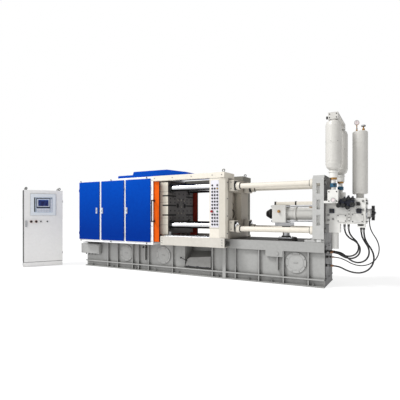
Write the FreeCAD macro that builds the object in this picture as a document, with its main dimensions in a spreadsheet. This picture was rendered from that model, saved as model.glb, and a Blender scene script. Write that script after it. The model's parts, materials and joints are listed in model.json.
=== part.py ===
"""Cold-chamber die casting machine with its control cabinet, as a parametric assembly.

Millimetres.  The origin is on the floor under the middle of the bed, +X runs from the clamping end
to the injection end, the operator stands on the -Y side and +Z is up.
"""
import FreeCAD, Part
import math
import os
import re
import Sketcher

V = FreeCAD.Vector

# ---------------------------------------------------------------------------------------------
# Driving dimensions: each is written once here and lives in the spreadsheet under its own alias.
# ---------------------------------------------------------------------------------------------
SIZES = {
    # bed
    "bed_length": 5060, "bed_width": 820, "bed_height": 700, "bed_wall": 20, "bed_inset": 55,
    "bed_flange": 20, "bed_top": 40, "ledge_height": 130, "rail_depth": 160, "rail_start": 952,
    "rib_thick": 16, "rib_set": 8, "cover_radius": 165, "cover_thick": 14, "leg_thick": 60,
    "hub_plate_depth": 260, "hub_radius": 24,
    "chute_left": 13, "chute_right": 570, "chute_bottom": 150, "chute_top": 550, "chute_depth": 300,
    "terminal_length": 530, "terminal_depth": 85, "terminal_height": 210,
    # tie bars and platens; a rise is measured from the top of the bed
    "bar_radius": 60, "bar_spacing": 700, "bar_rise": 580, "bar_fit": 0.05,
    "platen_width": 940, "moving_face": -295, "moving_thick": 180, "platen_foot": 50,
    "platen_rise": 1040, "fixed_face": 700, "fixed_thick": 251, "fixed_rise": 1060,
    "tail_right": -2060, "tail_thick": 240, "nut_half": 95, "nut_length": 95, "bar_stub": 30,
    "clamp_radius": 190, "clamp_length": 780, "ram_radius": 100, "ram_length": 1350, "shoe_gap": 0.3,
    "sleeve_radius": 55, "shot_drop": 140, "recess_depth": 125, "recess_round": 45,
    # guard
    "guard_left": -2500, "guard_right": -552, "guard_room": 127, "guard_low": 150,
    "guard_rise": 1150, "post_thick": 20, "post_width": 60, "sill_height": 40, "door_thick": 20,
    "door_gap": 0.3, "door_low": 100, "door_rise": 1110, "door_low_end": -2500, "door_one_end": -1923,
    "door_two_start": -1864, "door_two_end": -1261, "door_three_start": -1210,
    "door_three_end": -607, "latch_length": 118, "latch_rise": 446, "panel_thick": 12,
    "knuckle_radius": 8, "knuckle_length": 45, "knuckle_gap": 0.3,
    "roof_thick": 40, "roof_rim": 280, "latch_width": 30,
    "cover_left": -1600, "cover_right": 137, "cover_half": 420, "cover_low": 75, "cover_high": 65,
    "cover_slope": 400, "cover_step": 400,
    # sliding safety doors
    "slide_door_length": 1150, "slide_door_thick": 25, "slide_door_low": 90,
    "slide_door_rise": 1050, "front_door_end": -430, "rear_door_end": -228, "slide_gap": 6,
    "grip_low": 284, "grip_high": 702, "grip_reach": 100, "grip_radius": 11, "grip_inset": 105,
    "track_height": 40, "track_depth": 42, "hanger_gap": 0.3, "hanger_length": 70,
    # operator side portal
    "portal_proud": 23, "portal_left": 669, "portal_foot": 25,
    "beam_foot": 1060, "bevel_run": 100, "bevel_depth": 40,
    "apron_left": -363, "apron_low": 140, "apron_sheet": 12, "tray_radius": 58, "tray_sheet": 4, "tray_drop": 12,
    "button_pitch_x": 48, "button_pitch_z": 56, "button_radius": 13, "button_rows": 13,
    "button_left": 723, "button_rise": 256, "stop_radius": 22, "eye_radius": 30, "eye_wire": 9,
    # injection side
    "shot_plate_thick": 170, "shot_plate_half": 440,
    "shot_plate_foot": 50, "shot_plate_rise": 1035, "shot_plate_bevel": 60, "pocket_width": 60,
    "pocket_depth": 90, "shot_bar_radius": 45, "shot_bar_side": 365, "shot_bar_up": 920,
    "shot_bar_down": 180, "shot_collar": 66, "shot_collar_length": 60,
    "shot_radius": 103, "shot_reach": 496, "shot_rod_radius": 38, "shot_rod_fit": 0.05,
    "head_length": 234, "head_half": 150, "nose_radius": 88, "nose_length": 130, "nose_taper": 60,
    "lamp_half": 28, "lamp_rise": 618, "jack_radius": 60, "jack_base": 220,
    # hydraulics on the injection end
    "manifold_length": 565, "manifold_front": 300, "manifold_back": 140,
    "manifold_low": 285, "manifold_high": 675,
    "bottle_in": 130, "bottle_side": 385, "bottle_radius": 115, "bottle_foot": 1100,
    "bottle_rise": 1860, "bottle_cap": 70, "gas_in": 475, "gas_side": 100, "gas_radius": 109, "gas_foot": 740,
    "gas_rise": 1700, "gas_round": 14, "cap_height": 105, "column_radius": 55, "column_low": 100,
    "wheel_radius": 110, "wheel_lobe": 22, "throttle_rise": 450, "throttle_reach": 75, "wheel_gap": 0.3,
    "gauge_reach": 47, "port_rise": 235, "fitting_radius": 17, "fitting_reach": 70, "hose_radius": 12,
    "thin_hose_radius": 8,
    # control cabinet
    "cabinet_along": -3455, "cabinet_side": -1280, "cabinet_turn": 57, "cabinet_width": 790,
    "cabinet_depth": 420, "cabinet_height": 1650, "plinth_height": 100, "plinth_set": 15,
    "cabinet_door": 22, "cabinet_seam": 0.3, "cabinet_wall": 30,
    "cabinet_recess": 150, "screen_left": 140, "screen_width": 508,
    "screen_bottom": 1105, "screen_height": 470,
}

# Places that follow from the sizes: what stands on the bed rises with it, the guard follows the
# platens, and everything on the injection end follows the end of the bed.
DERIVED = {
    "bar_height": "(bed_height + bar_rise)", "platen_bottom": "(bed_height + platen_foot)",
    "platen_top": "(bed_height + platen_rise)", "fixed_top": "(bed_height + fixed_rise)",
    "guard_front": "(platen_width / 2 + guard_room)", "guard_bottom": "(bed_height - guard_low)",
    "guard_top": "(bed_height + guard_rise)", "door_bottom": "(bed_height - door_low)",
    "door_top": "(bed_height + door_rise)", "latch_bottom": "(bed_height + latch_rise)",
    "slide_door_bottom": "(bed_height - slide_door_low)",
    "slide_door_top": "(bed_height + slide_door_rise)", "grip_bottom": "(bed_height + grip_low)",
    "grip_top": "(bed_height + grip_high)", "front_plane": "(platen_width / 2 + guard_room + portal_proud)",
    "portal_right": "(fixed_face + fixed_thick)", "portal_bottom": "(bed_height + portal_foot)",
    "beam_bottom": "(bed_height + beam_foot)", "beam_top": "(bed_height + guard_rise)",
    "apron_bottom": "(bed_height - apron_low)", "button_low": "(bed_height + button_rise)",
    "shot_plate_right": "(bed_length / 2)", "shot_plate_left": "(bed_length / 2 - shot_plate_thick)",
    "shot_plate_bottom": "(bed_height + shot_plate_foot)",
    "shot_plate_top": "(bed_height + shot_plate_rise)",
    "shot_bar_high": "(bed_height + shot_bar_up)", "shot_bar_low": "(bed_height + shot_bar_down)",
    "shot_left": "(bed_length / 2 - shot_plate_thick - shot_reach)",
    "head_left": "(bed_length / 2 - shot_plate_thick - shot_reach - head_length)",
    "nose_left": "(bed_length / 2 - shot_plate_thick - shot_reach - head_length - nose_length)",
    "nose_step": "(bed_length / 2 - shot_plate_thick - shot_reach - head_length - nose_length + nose_taper)",
    "lamp_height": "(bed_height + lamp_rise)", "manifold_left": "(bed_length / 2)",
    "manifold_right": "(bed_length / 2 + manifold_length)",
    "manifold_bottom": "(bed_height + manifold_low)", "manifold_top": "(bed_height + manifold_high)",
    "bottle_along": "(bed_length / 2 + bottle_in)", "bottle_bottom": "(bed_height + bottle_foot)",
    "bottle_top": "(bed_height + bottle_rise)", "gas_along": "(bed_length / 2 + gas_in)",
    "gas_bottom": "(bed_height + gas_foot)", "gas_top": "(bed_height + gas_rise)",
    "column_bottom": "(bed_height - column_low)", "throttle_height": "(bed_height + throttle_rise)",
    "port_block": "(bed_height + port_rise)",
}

doc = FreeCAD.newDocument("DieCastingMachine")
sheet = doc.addObject("Spreadsheet::Sheet", "Sizes")
for row, (alias, value) in enumerate(SIZES.items(), start=1):
    sheet.set(f"A{row}", alias)
    sheet.set(f"B{row}", str(value))
    sheet.setAlias(f"B{row}", alias)
doc.recompute()

ALIAS = re.compile(r"\b(" + "|".join(sorted(SIZES, key=len, reverse=True)) + r")\b")
FOLLOWS = re.compile(r"\b(" + "|".join(sorted(DERIVED, key=len, reverse=True)) + r")\b")
NODES = []


# ---------------------------------------------------------------------------------------------
# Small vocabulary: every size and place below is an expression in the spreadsheet's aliases.
# ---------------------------------------------------------------------------------------------
def bound(expression):
    """The expression with derived places written out and each alias pointed at the spreadsheet."""
    plain = FOLLOWS.sub(lambda found: DERIVED[found.group(1)], str(expression))
    return ALIAS.sub(r"Sizes.\1", plain)


def bind(thing, **properties):
    for name, expression in properties.items():
        thing.setExpression(name, bound(expression))
    return thing


def place(thing, x, y, z):
    for axis, expression in zip("xyz", (x, y, z)):
        thing.setExpression(f".Placement.Base.{axis}", bound(expression))
    return thing


def block(x, y, z):
    """A box between two ends along each axis, each given as (low, high)."""
    box = doc.addObject("Part::Box", "Block")
    bind(box, Length=f"({x[1]}) - ({x[0]})", Width=f"({y[1]}) - ({y[0]})",
         Height=f"({z[1]}) - ({z[0]})")
    return place(box, x[0], y[0], z[0])


TURNS = {"x": FreeCAD.Rotation(V(0, 1, 0), 90), "y": FreeCAD.Rotation(V(1, 0, 0), -90),
         "z": FreeCAD.Rotation()}


def rod(axis, radius, ends, centre):
    """A cylinder along an axis between two ends, centred on the other two coordinates."""
    cylinder = doc.addObject("Part::Cylinder", "Rod")
    bind(cylinder, Radius=radius, Height=f"({ends[1]}) - ({ends[0]})")
    cylinder.Placement = FreeCAD.Placement(V(), TURNS[axis])
    where = list(centre)
    where.insert("xyz".index(axis), ends[0])
    return place(cylinder, *where)


def cone(axis, radii, ends, centre):
    shape = doc.addObject("Part::Cone", "Taper")
    bind(shape, Radius1=radii[0], Radius2=radii[1], Height=f"({ends[1]}) - ({ends[0]})")
    shape.Placement = FreeCAD.Placement(V(), TURNS[axis])
    where = list(centre)
    where.insert("xyz".index(axis), ends[0])
    return place(shape, *where)


def fuse(pieces):
    if len(pieces) == 1:
        return pieces[0]
    union = doc.addObject("Part::MultiFuse", "Union")
    union.Shapes = pieces
    return union


def cut(base, tools):
    result = doc.addObject("Part::Cut", "Cut")
    result.Base = base
    result.Tool = fuse(tools)
    return result


def node(name, thing):
    """Names the finished sub-part and puts it on the list of pieces to write."""
    thing.Label = name
    NODES.append(thing)
    return thing


def profile(plane, corners, length, offset="0"):
    """A prism: a closed outline sketched on an origin plane, padded by a length.

    Corners are (across, up) pairs.  On XZ the pad runs towards -Y from the offset, on XY it
    runs up from the offset and on YZ it runs towards +X from the offset.
    """
    body = doc.addObject("PartDesign::Body", "Profile")
    datum = [item for item in body.Origin.OriginFeatures if item.Role == plane + "_Plane"][0]
    sketch = body.newObject("Sketcher::SketchObject", "Outline")
    sketch.AttachmentSupport = (datum, [""])
    sketch.MapMode = "FlatFace"
    count = len(corners)
    ring = [V(math.cos(2 * math.pi * step / count), math.sin(2 * math.pi * step / count), 0) * 500
            for step in range(count)]
    for step in range(count):
        sketch.addGeometry(Part.LineSegment(ring[step], ring[(step + 1) % count]))
    for step in range(count):
        sketch.addConstraint(Sketcher.Constraint("Coincident", step, 2, (step + 1) % count, 1))
    for step, corner in enumerate(corners):
        for kind, expression, start in zip(("DistanceX", "DistanceY"), corner, ring[step][:2]):
            number = sketch.addConstraint(Sketcher.Constraint(kind, -1, 1, step, 1, start))
            sketch.setExpression(f"Constraints[{number}]", bound(expression))
    pad = body.newObject("PartDesign::Pad", "Pad")
    pad.Profile = sketch
    pad.Type = "Length"
    bind(pad, Length=length)
    axis = {"XZ": "y", "XY": "z", "YZ": "x"}[plane]
    body.setExpression(f".Placement.Base.{axis}", bound(offset))
    return body


def turned(points, axis_place):
    """A solid of revolution about a vertical axis: points are (radius, height) pairs."""
    body = doc.addObject("PartDesign::Body", "Turned")
    datum = [item for item in body.Origin.OriginFeatures if item.Role == "XZ_Plane"][0]
    sketch = body.newObject("Sketcher::SketchObject", "HalfSection")
    sketch.AttachmentSupport = (datum, [""])
    sketch.MapMode = "FlatFace"
    count = len(points)
    ring = [V(600 + 400 * math.cos(2 * math.pi * step / count - 2.2),
              400 * math.sin(2 * math.pi * step / count - 2.2), 0) for step in range(count)]
    for step in range(count):
        sketch.addGeometry(Part.LineSegment(ring[step], ring[(step + 1) % count]))
    for step in range(count):
        sketch.addConstraint(Sketcher.Constraint("Coincident", step, 2, (step + 1) % count, 1))
    for step, point in enumerate(points):
        for kind, expression, start in zip(("DistanceX", "DistanceY"), point, ring[step][:2]):
            number = sketch.addConstraint(Sketcher.Constraint(kind, -1, 1, step, 1, start))
            sketch.setExpression(f"Constraints[{number}]", bound(expression))
    spin = body.newObject("PartDesign::Revolution", "Spin")
    spin.Profile = sketch
    spin.ReferenceAxis = (sketch, ["V_Axis"])
    spin.Angle = 360
    return place(body, *axis_place)


def side_of(front, low, high):
    """Distances from the centre plane, on the operator's side (front) or the other one."""
    return (f"-({high})", f"-({low})") if front else (low, high)


def both_sides(low, high):
    """The (low, high) pair and its mirror image across the machine's centre plane."""
    return ((low, high), (f"-({high})", f"-({low})"))


# ---------------------------------------------------------------------------------------------
# Bed
# ---------------------------------------------------------------------------------------------
HALF_BED = "bed_width / 2"
WALL_FACE = "(bed_width / 2 - bed_inset)"
END = "bed_length / 2"
RIBS = (-1884, -1619, -1218, -1063, -812, -244, 610, 1056, 1480, 1894, 2288)
SHORT_RIBS = (-899, 1795)
COVERS = ((-1402, 330), (-475, 335), (2086, 360))


def make_bed():
    skin = [block((f"-{END}", END), (f"-{WALL_FACE}", WALL_FACE), ("0", "bed_height"))]
    hollow = [block((f"-{END} + bed_wall", f"{END} - bed_wall"),
                    (f"-{WALL_FACE} + bed_wall", f"{WALL_FACE} - bed_wall"),
                    ("bed_flange", "bed_height - bed_top"))]
    shell = cut(skin[0], hollow)
    pieces = [shell]
    full = (f"-{HALF_BED}", HALF_BED)
    length = (f"-{END}", END)
    for low, high in both_sides(f"{WALL_FACE} - 1", HALF_BED):
        pieces.append(block(length, (low, high), ("0", "bed_flange")))
        pieces.append(block(length, (low, high), ("ledge_height - bed_flange", "ledge_height")))
        pieces.append(block((f"-{END}", "rail_start + 1"), (low, high),
                            ("bed_height - bed_top", "bed_height")))
        pieces.append(block(("rail_start", END), (low, high), ("bed_height - rail_depth", "bed_height")))
        for rib in RIBS:
            edge = (low, f"{high} - rib_set") if high == HALF_BED else (f"{low} + rib_set", high)
            pieces.append(block((f"{rib} - rib_thick / 2", f"{rib} + rib_thick / 2"), edge,
                                ("ledge_height - 1", "bed_height - bed_top + 1")))
            pieces.append(block((f"{rib} - rib_thick / 2", f"{rib} + rib_thick / 2"), edge,
                                ("bed_flange - 1", "ledge_height - bed_flange + 1")))
        for rib in SHORT_RIBS:
            edge = (low, f"{high} - rib_set") if high == HALF_BED else (f"{low} + rib_set", high)
            pieces.append(block((f"{rib} - rib_thick / 2", f"{rib} + rib_thick / 2"), edge,
                                ("220", "bed_height - bed_top + 1")))
    hub = ("shot_left - 66", "bed_height - hub_plate_depth + 54")
    for low, high in both_sides(f"{WALL_FACE} - 1", HALF_BED):
        leg = ("portal_right - 135", "portal_right - 135 + leg_thick")
        edge = (low, f"{high} - rib_set") if high == HALF_BED else (f"{low} + rib_set", high)
        pieces.append(block(leg, (low, high), ("bed_flange - 1", "apron_bottom")))
        pieces.append(block(leg, edge, ("apron_bottom - 1", "bed_height - bed_top + 1")))
        pieces.append(block(("shot_left - 264", "shot_left + 22"), (low, high),
                            ("bed_height - hub_plate_depth", "bed_height - rail_depth + 1")))
    for low, high in both_sides(f"{HALF_BED} - 1", f"{HALF_BED} + 10"):
        pieces.append(rod("y", "hub_radius", (low, high), hub))
    window = block(("chute_left", "chute_right"), (f"-{WALL_FACE} - 5", f"-{WALL_FACE} + chute_depth"),
                   ("chute_bottom", "chute_top"))
    walls = block(("chute_left - bed_wall", "chute_right + bed_wall"),
                  (f"-{WALL_FACE} + 1", f"-{WALL_FACE} + chute_depth + bed_wall"),
                  ("chute_bottom - bed_wall", "chute_top + bed_wall"))
    return cut(fuse(pieces + [walls]), [window])


node("bed_frame", make_bed())

node("bed_covers", fuse([
    rod("y", "cover_radius", ends, place_on_wall)
    for ends in both_sides(WALL_FACE, f"{WALL_FACE} + cover_thick") for place_on_wall in COVERS]))

# The chute is a folded plate in the bed's window that falls towards the operator, with a
# stop plate in front of its foot and a lever that lifts its flap.
CHUTE_BACK = f"(-{WALL_FACE} + chute_depth)"
CHUTE_LIP = f"(-{WALL_FACE} - 30)"
chute = profile("YZ", ((CHUTE_BACK, "chute_top - 120"), (CHUTE_BACK, "chute_top - 134"),
                       (CHUTE_LIP, "chute_bottom"), (CHUTE_LIP, "chute_bottom + 14")),
                "chute_right - chute_left", "chute_left")
stop_plate = profile("XZ", (("chute_left + 30", "chute_bottom"), ("chute_right", "chute_bottom"),
                            ("chute_right", "chute_bottom + 218"), ("chute_left + 120", "chute_bottom + 178"),
                            ("chute_left + 60", "chute_bottom + 140")),
                     "12", f"-{WALL_FACE} - 16")
lever = rod("y", "9", (f"-{WALL_FACE} - 46", f"-{WALL_FACE} - 27"), ("chute_left + 60", "chute_bottom + 120"))
lever_arm = profile("XZ", (("chute_left - 66", "chute_bottom + 172"), ("chute_left - 54", "chute_bottom + 160"),
                           ("chute_left + 69", "chute_bottom + 114"), ("chute_left + 60", "chute_bottom + 129")),
                    "12", f"-{WALL_FACE} - 42")
lever_knob = rod("y", "16", (f"-{WALL_FACE} - 58", f"-{WALL_FACE} - 41"), ("chute_left - 60", "chute_bottom + 166"))
node("casting_chute", fuse([chute, stop_plate, lever, lever_arm, lever_knob]))

node("terminal_box", block((f"-{END} - 100", f"-{END} - 100 + terminal_length"),
                           (f"-{WALL_FACE} - terminal_depth", f"-{WALL_FACE}"),
                           ("guard_bottom - 60 - terminal_height", "guard_bottom - 60")))

# ---------------------------------------------------------------------------------------------
# Tie bars and platens
# ---------------------------------------------------------------------------------------------
BAR_Y = "bar_spacing / 2"
BAR_PLACES = [(f"{side}{BAR_Y}", f"bar_height {sign} bar_spacing / 2")
              for side in ("-", "") for sign in ("-", "+")]
BAR_LEFT = "(tail_right - tail_thick - nut_length - bar_stub)"
BAR_RIGHT = "(portal_right + nut_length + bar_stub)"
CENTRE = ("0", "bar_height")

node("tie_bars", fuse([rod("x", "bar_radius", (BAR_LEFT, BAR_RIGHT), where) for where in BAR_PLACES]))


def nut_ring(start):
    """Square nut housings clamped on the ends of the four bars."""
    nuts = []
    for side, up in BAR_PLACES:
        nuts.append(block((start, f"{start} + nut_length"), (f"{side} - nut_half", f"{side} + nut_half"),
                          (f"{up} - nut_half", f"{up} + nut_half")))
    bores = [rod("x", "bar_radius", (start, f"{start} + nut_length"), where) for where in BAR_PLACES]
    return cut(fuse(nuts), bores)


node("tie_bar_nuts", fuse([nut_ring("portal_right"), nut_ring("(tail_right - tail_thick - nut_length)")]))


def platen(left, right, low, high, bar_radius):
    half = "platen_width / 2"
    plate = block((left, right), (f"-{half}", half), (low, high))
    return plate, [rod("x", bar_radius, (f"{left} - 1", f"{right} + 1"), where)
                   for where in BAR_PLACES]


def make_fixed_platen():
    plate, bores = platen("fixed_face", "portal_right", "bed_height", "fixed_top", "bar_radius")
    near, far = "-280", "130"
    low, high = "bar_height - 290", "bar_height + 250"
    depth = ("portal_right - recess_depth", "portal_right + 1")
    recess = [block(depth, (f"{near} + recess_round", f"{far} - recess_round"), (low, high)),
              block(depth, (near, far), (f"{low} + recess_round", f"{high} - recess_round"))]
    recess += [rod("x", "recess_round", depth, (side, up))
               for side in (f"{near} + recess_round", f"{far} - recess_round")
               for up in (f"{low} + recess_round", f"{high} - recess_round")]
    sleeves = [rod("x", "sleeve_radius", ("fixed_face - 1", "portal_right"), ("0", up))
               for up in ("bar_height - shot_drop", "bar_height")]
    bolts = [rod("x", "13", ("portal_right - recess_depth - 30", "portal_right"), ("0", f"bar_height - {down}"))
             for down in ("222", "260")]
    return cut(plate, bores + recess + sleeves + bolts)


node("fixed_platen", make_fixed_platen())


def make_moving_platen():
    plate, bores = platen("moving_face - moving_thick", "moving_face", "platen_bottom", "platen_top",
                          "bar_radius + bar_fit")
    shoes = [block(("moving_face - moving_thick", "moving_face - 20"), (low, high),
                   ("bed_height + shoe_gap", "platen_bottom"))
             for low, high in both_sides("250", "400")]
    ejector = [rod("x", "19", ("moving_face - 60", "moving_face + 1"), (side, f"bar_height + {up}"))
               for side in (-120, 0, 120) for up in (-130, 0, 130)]
    slots = [block(("moving_face - 36", "moving_face + 1"), (low, high), (f"bar_height + {up} - 14",
             f"bar_height + {up} + 14")) for up in (-163, 21, 204)
             for low, high in both_sides("190", "platen_width / 2 + 1")]
    return cut(fuse([plate] + shoes), bores + ejector + slots)


node("moving_platen", make_moving_platen())


def make_tail_platen():
    plate, bores = platen("tail_right - tail_thick", "tail_right", "bed_height", "platen_top", "bar_radius")
    return cut(plate, bores + [rod("x", "ram_radius + 60", ("tail_right - tail_thick - 1",
                                   "tail_right + 1"), CENTRE)])


node("tail_platen", make_tail_platen())

CLAMP_LEFT = "(tail_right - 100)"
CLAMP_RIGHT = "(tail_right - 100 + clamp_length)"
RAM_REACH = "(moving_face - moving_thick - ram_length)"


def make_clamp_cylinder():
    spigot = rod("x", "ram_radius + 60", (CLAMP_LEFT, "tail_right + 1"), CENTRE)
    barrel = rod("x", "clamp_radius", ("tail_right", CLAMP_RIGHT), CENTRE)
    bore = rod("x", "ram_radius + bar_fit", (f"{CLAMP_LEFT} - 1", f"{CLAMP_RIGHT} + 1"), CENTRE)
    return cut(fuse([spigot, barrel]), [bore])


node("clamp_cylinder", make_clamp_cylinder())
node("clamp_ram", rod("x", "ram_radius", (RAM_REACH, "moving_face - moving_thick"), CENTRE))

# ---------------------------------------------------------------------------------------------
# Guard around the clamping unit
# ---------------------------------------------------------------------------------------------
FRAME_OUT = "guard_front"
FRAME_IN = "(guard_front - post_thick)"
POSTS = (("guard_left", "guard_left + post_width"), ("door_one_end - 30", "door_two_start + 30"),
         ("door_two_end - 30", "door_three_start + 30"), ("door_three_end - 30", "guard_right"))
BRACKETS = (("guard_left", "guard_left + post_width"), ("door_two_end - 30", "door_two_end + 30"),
            ("guard_right - post_width", "guard_right"))


def make_guard_wall(front):
    """One white side frame of posts and rails on brackets that reach out from the bed wall."""
    depth = side_of(front, FRAME_IN, FRAME_OUT)
    pieces = [block(ends, depth, ("guard_bottom", "guard_top")) for ends in POSTS]
    pieces += [block(ends, side_of(front, WALL_FACE, f"{FRAME_IN} + 1"),
                     ("guard_bottom", "guard_bottom + sill_height")) for ends in BRACKETS]
    pieces.append(block(("guard_left", "guard_right"), depth, ("guard_bottom", "door_bottom + 30")))
    pieces.append(block(("guard_left", "guard_right"), depth, ("door_top - 30", "guard_top")))
    return fuse(pieces)


node("guard_frame_front", make_guard_wall(True))
node("guard_frame_rear", make_guard_wall(False))
ROOF_LOW = "(guard_top - roof_thick)"
roof_ring = cut(
    block(("guard_left", "guard_right"), (f"-{FRAME_IN}", FRAME_IN), (ROOF_LOW, "guard_top")),
    [block(("guard_left + roof_rim", "guard_right - roof_rim"), (f"-{FRAME_IN} + roof_rim",
     f"{FRAME_IN} - roof_rim"), (f"{ROOF_LOW} - 1", "guard_top + 1"))])
node("guard_cross_frame", fuse([roof_ring, block(
    ("guard_left", "guard_left + post_width"), (f"-{FRAME_IN}", FRAME_IN),
    ("bed_height", "bed_height + sill_height"))]))
node("guard_panels", fuse(
    [block(("guard_left", "guard_left + panel_thick"), (f"-{FRAME_IN}", FRAME_IN),
           ("bed_height + sill_height", ROOF_LOW))]
    + [block(ends, (FRAME_OUT, f"{FRAME_OUT} + panel_thick"), ("door_bottom", "door_top"))
       for ends in (("door_low_end", "door_one_end"), ("door_two_start", "door_two_end"),
                    ("door_three_start", "door_three_end"))]))

LOW_TOP = "(guard_top + cover_low)"
cover_tiers = [profile("XZ", (
    ("cover_left", "guard_top"), ("cover_right", "guard_top"), ("cover_right - 15", "guard_top + 45"),
    ("cover_right - 90", LOW_TOP), ("cover_left + 30", LOW_TOP)),
    "2 * cover_half", "cover_half"), profile("XZ", (
    ("cover_left + cover_step", LOW_TOP), ("cover_right - 100", LOW_TOP),
    ("cover_right - 100 - cover_slope", f"{LOW_TOP} + cover_high"),
    ("cover_left + cover_step + 25", f"{LOW_TOP} + cover_high")),
    "2 * cover_half - 20", "cover_half - 10")]
node("roof_cover", fuse(cover_tiers))

DOOR_BACK = "(-guard_front - door_gap)"
DOOR_FACE = "(-guard_front - door_gap - door_thick)"


HINGE_RISES = ("door_bottom + 110", "door_top - 200")


def hinge_barrels(edge, side, rises, first):
    """Every other knuckle of a row of barrel hinges on a door's vertical edge."""
    return [rod("z", "knuckle_radius", (f"{rise} + {first} * (knuckle_length + knuckle_gap)",
                f"{rise} + {first} * (knuckle_length + knuckle_gap) + knuckle_length"), (edge, side))
            for rise in rises]


def make_guard_door(left, right, hinge_left):
    """A sheet door with its hinge barrels on one edge and its latch handle in front."""
    skin = block((left, right), (DOOR_FACE, DOOR_BACK), ("door_bottom", "door_top"))
    edge = f"{right} - 75" if hinge_left else f"{left} + 20"
    latch = block((edge, f"{edge} + latch_width"), (f"{DOOR_FACE} - 16", f"{DOOR_FACE} + 1"),
                  ("latch_bottom", "latch_bottom + latch_length"))
    return fuse([skin, latch] + hinge_barrels(left if hinge_left else right, DOOR_FACE, HINGE_RISES, 0))


DOORS = (("1", "door_low_end", "door_one_end", True), ("2", "door_two_start", "door_two_end", False),
         ("3", "door_three_start", "door_three_end", False))
for number, left, right, hinge_left in DOORS:
    node(f"guard_door_{number}", make_guard_door(left, right, hinge_left))

# ---------------------------------------------------------------------------------------------
# Sliding safety doors, their tracks and the portal around the die space
# ---------------------------------------------------------------------------------------------
SLIDE_OUT = "(guard_front - post_thick - slide_gap)"
SLIDE_IN = "(guard_front - post_thick - slide_gap - slide_door_thick)"


def make_slide_door(front, end):
    """A flat door with two hangers that run just under its track."""
    depth = side_of(front, SLIDE_IN, SLIDE_OUT)
    leaf = block((f"{end} - slide_door_length", end), depth, ("slide_door_bottom", "slide_door_top"))
    hangers = [block((start, f"{start} + hanger_length"), depth,
                     ("slide_door_top - 1", "slide_door_top + slide_gap - hanger_gap"))
               for start in (f"{end} - slide_door_length + hanger_length", f"{end} - 2 * hanger_length")]
    return fuse([leaf] + hangers)


def make_grip(front, end):
    """A D-shaped pull: two stand-offs and an upright bar."""
    along = f"({end} - grip_inset)"
    reach = f"({SLIDE_OUT} + grip_reach)"
    arms = [rod("y", "grip_radius", side_of(front, SLIDE_OUT, reach), (along, up))
            for up in ("grip_bottom + grip_radius", "grip_top - grip_radius")]
    bar_side = f"-({reach} - grip_radius)" if front else f"({reach} - grip_radius)"
    bar = rod("z", "grip_radius", ("grip_bottom", "grip_top"), (along, bar_side))
    return fuse(arms + [bar])


node("safety_door_front", make_slide_door(True, "front_door_end"))
node("safety_door_grip_front", make_grip(True, "front_door_end"))
node("safety_door_rear", fuse([make_slide_door(False, "rear_door_end"), make_grip(False, "rear_door_end")]))

TRACK_OUT = "(guard_front - post_thick)"


def make_beam(front):
    """The cream fascia over the die space with the door track behind it."""
    track = block(("front_door_end - slide_door_length - 20", "portal_left"),
                  side_of(front, f"{TRACK_OUT} - track_depth", TRACK_OUT),
                  ("slide_door_top + slide_gap", "slide_door_top + slide_gap + track_height"))
    fascia = block(("guard_right", "portal_right"), side_of(front, TRACK_OUT, "front_plane"),
                   ("beam_bottom", "beam_top"))
    bracket = block(("portal_left + 40", "portal_right"), side_of(front, "200", TRACK_OUT),
                    ("beam_bottom", "beam_top"))
    return fuse([track, fascia, bracket])


node("top_beam_front", make_beam(True))


def make_portal_post(front):
    near = "platen_width / 2"
    sign = "-" if front else ""
    corners = [("portal_left", near), ("portal_right", near), ("portal_right", "front_plane - bevel_depth"),
               ("portal_right - bevel_run", "front_plane"), ("portal_left", "front_plane")]
    return profile("XY", [(across, f"{sign}({up})") for across, up in corners],
                   "beam_bottom - portal_bottom", "portal_bottom")


node("panel_post", make_portal_post(True))
node("rear_portal", fuse([make_beam(False), make_portal_post(False)]))


def make_apron(front):
    """A folded skirt under the die space, welded back to the bed wall."""
    face = block(("apron_left", "portal_right"), side_of(front, "front_plane - apron_sheet", "front_plane"),
                 ("apron_bottom", "portal_bottom"))
    floor = block(("apron_left", "portal_right"), side_of(front, f"{HALF_BED} - rib_set", "front_plane"),
                  ("apron_bottom", "apron_bottom + apron_sheet"))
    lip = block(("apron_left", "portal_right"), side_of(front, "front_plane - 36", "front_plane"),
                ("portal_bottom - apron_sheet", "portal_bottom"))
    shelf = block(("portal_left", "portal_right"), side_of(front, "platen_width / 2", "front_plane"),
                  ("portal_bottom - apron_sheet", "portal_bottom"))
    return fuse([face, floor, lip, shelf])


node("aprons", fuse([make_apron(True), make_apron(False)]))


def make_tray():
    """A half-round guard over the hoses in the trough, open underneath."""
    middle = f"({HALF_BED} + tray_radius)"
    ends = ("apron_left + 20", "portal_left - 10")
    outer = rod("x", "tray_radius", ends, (f"-{middle}", "bed_height - tray_drop"))
    inner = rod("x", "tray_radius - tray_sheet", (f"{ends[0]} - 1", f"{ends[1]} + 1"),
                (f"-{middle}", "bed_height - tray_drop"))
    below = block((f"{ends[0]} - 1", f"{ends[1]} + 1"),
                  (f"-{middle} - tray_radius - 5", f"-{middle} + tray_radius + 5"),
                  ("bed_height - tray_drop - tray_radius - 1", "bed_height - tray_drop"))
    return cut(outer, [inner, below])


node("drip_tray", make_tray())

# ---------------------------------------------------------------------------------------------
# Push buttons on the post
# ---------------------------------------------------------------------------------------------
STOP_ROW = 4


def button_place(column, line):
    return f"button_left + {column} * button_pitch_x", f"button_low + {line} * button_pitch_z"


def make_buttons():
    studs = []
    for line in range(SIZES["button_rows"]):
        for column in range(3):
            missing = column == 1 and line in (STOP_ROW, SIZES["button_rows"] - 1)
            if not missing and not (line == STOP_ROW and column == 0):
                studs.append(rod("y", "button_radius", ("-front_plane - 12", "-front_plane"),
                                 button_place(column, line)))
    return fuse(studs)


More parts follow.
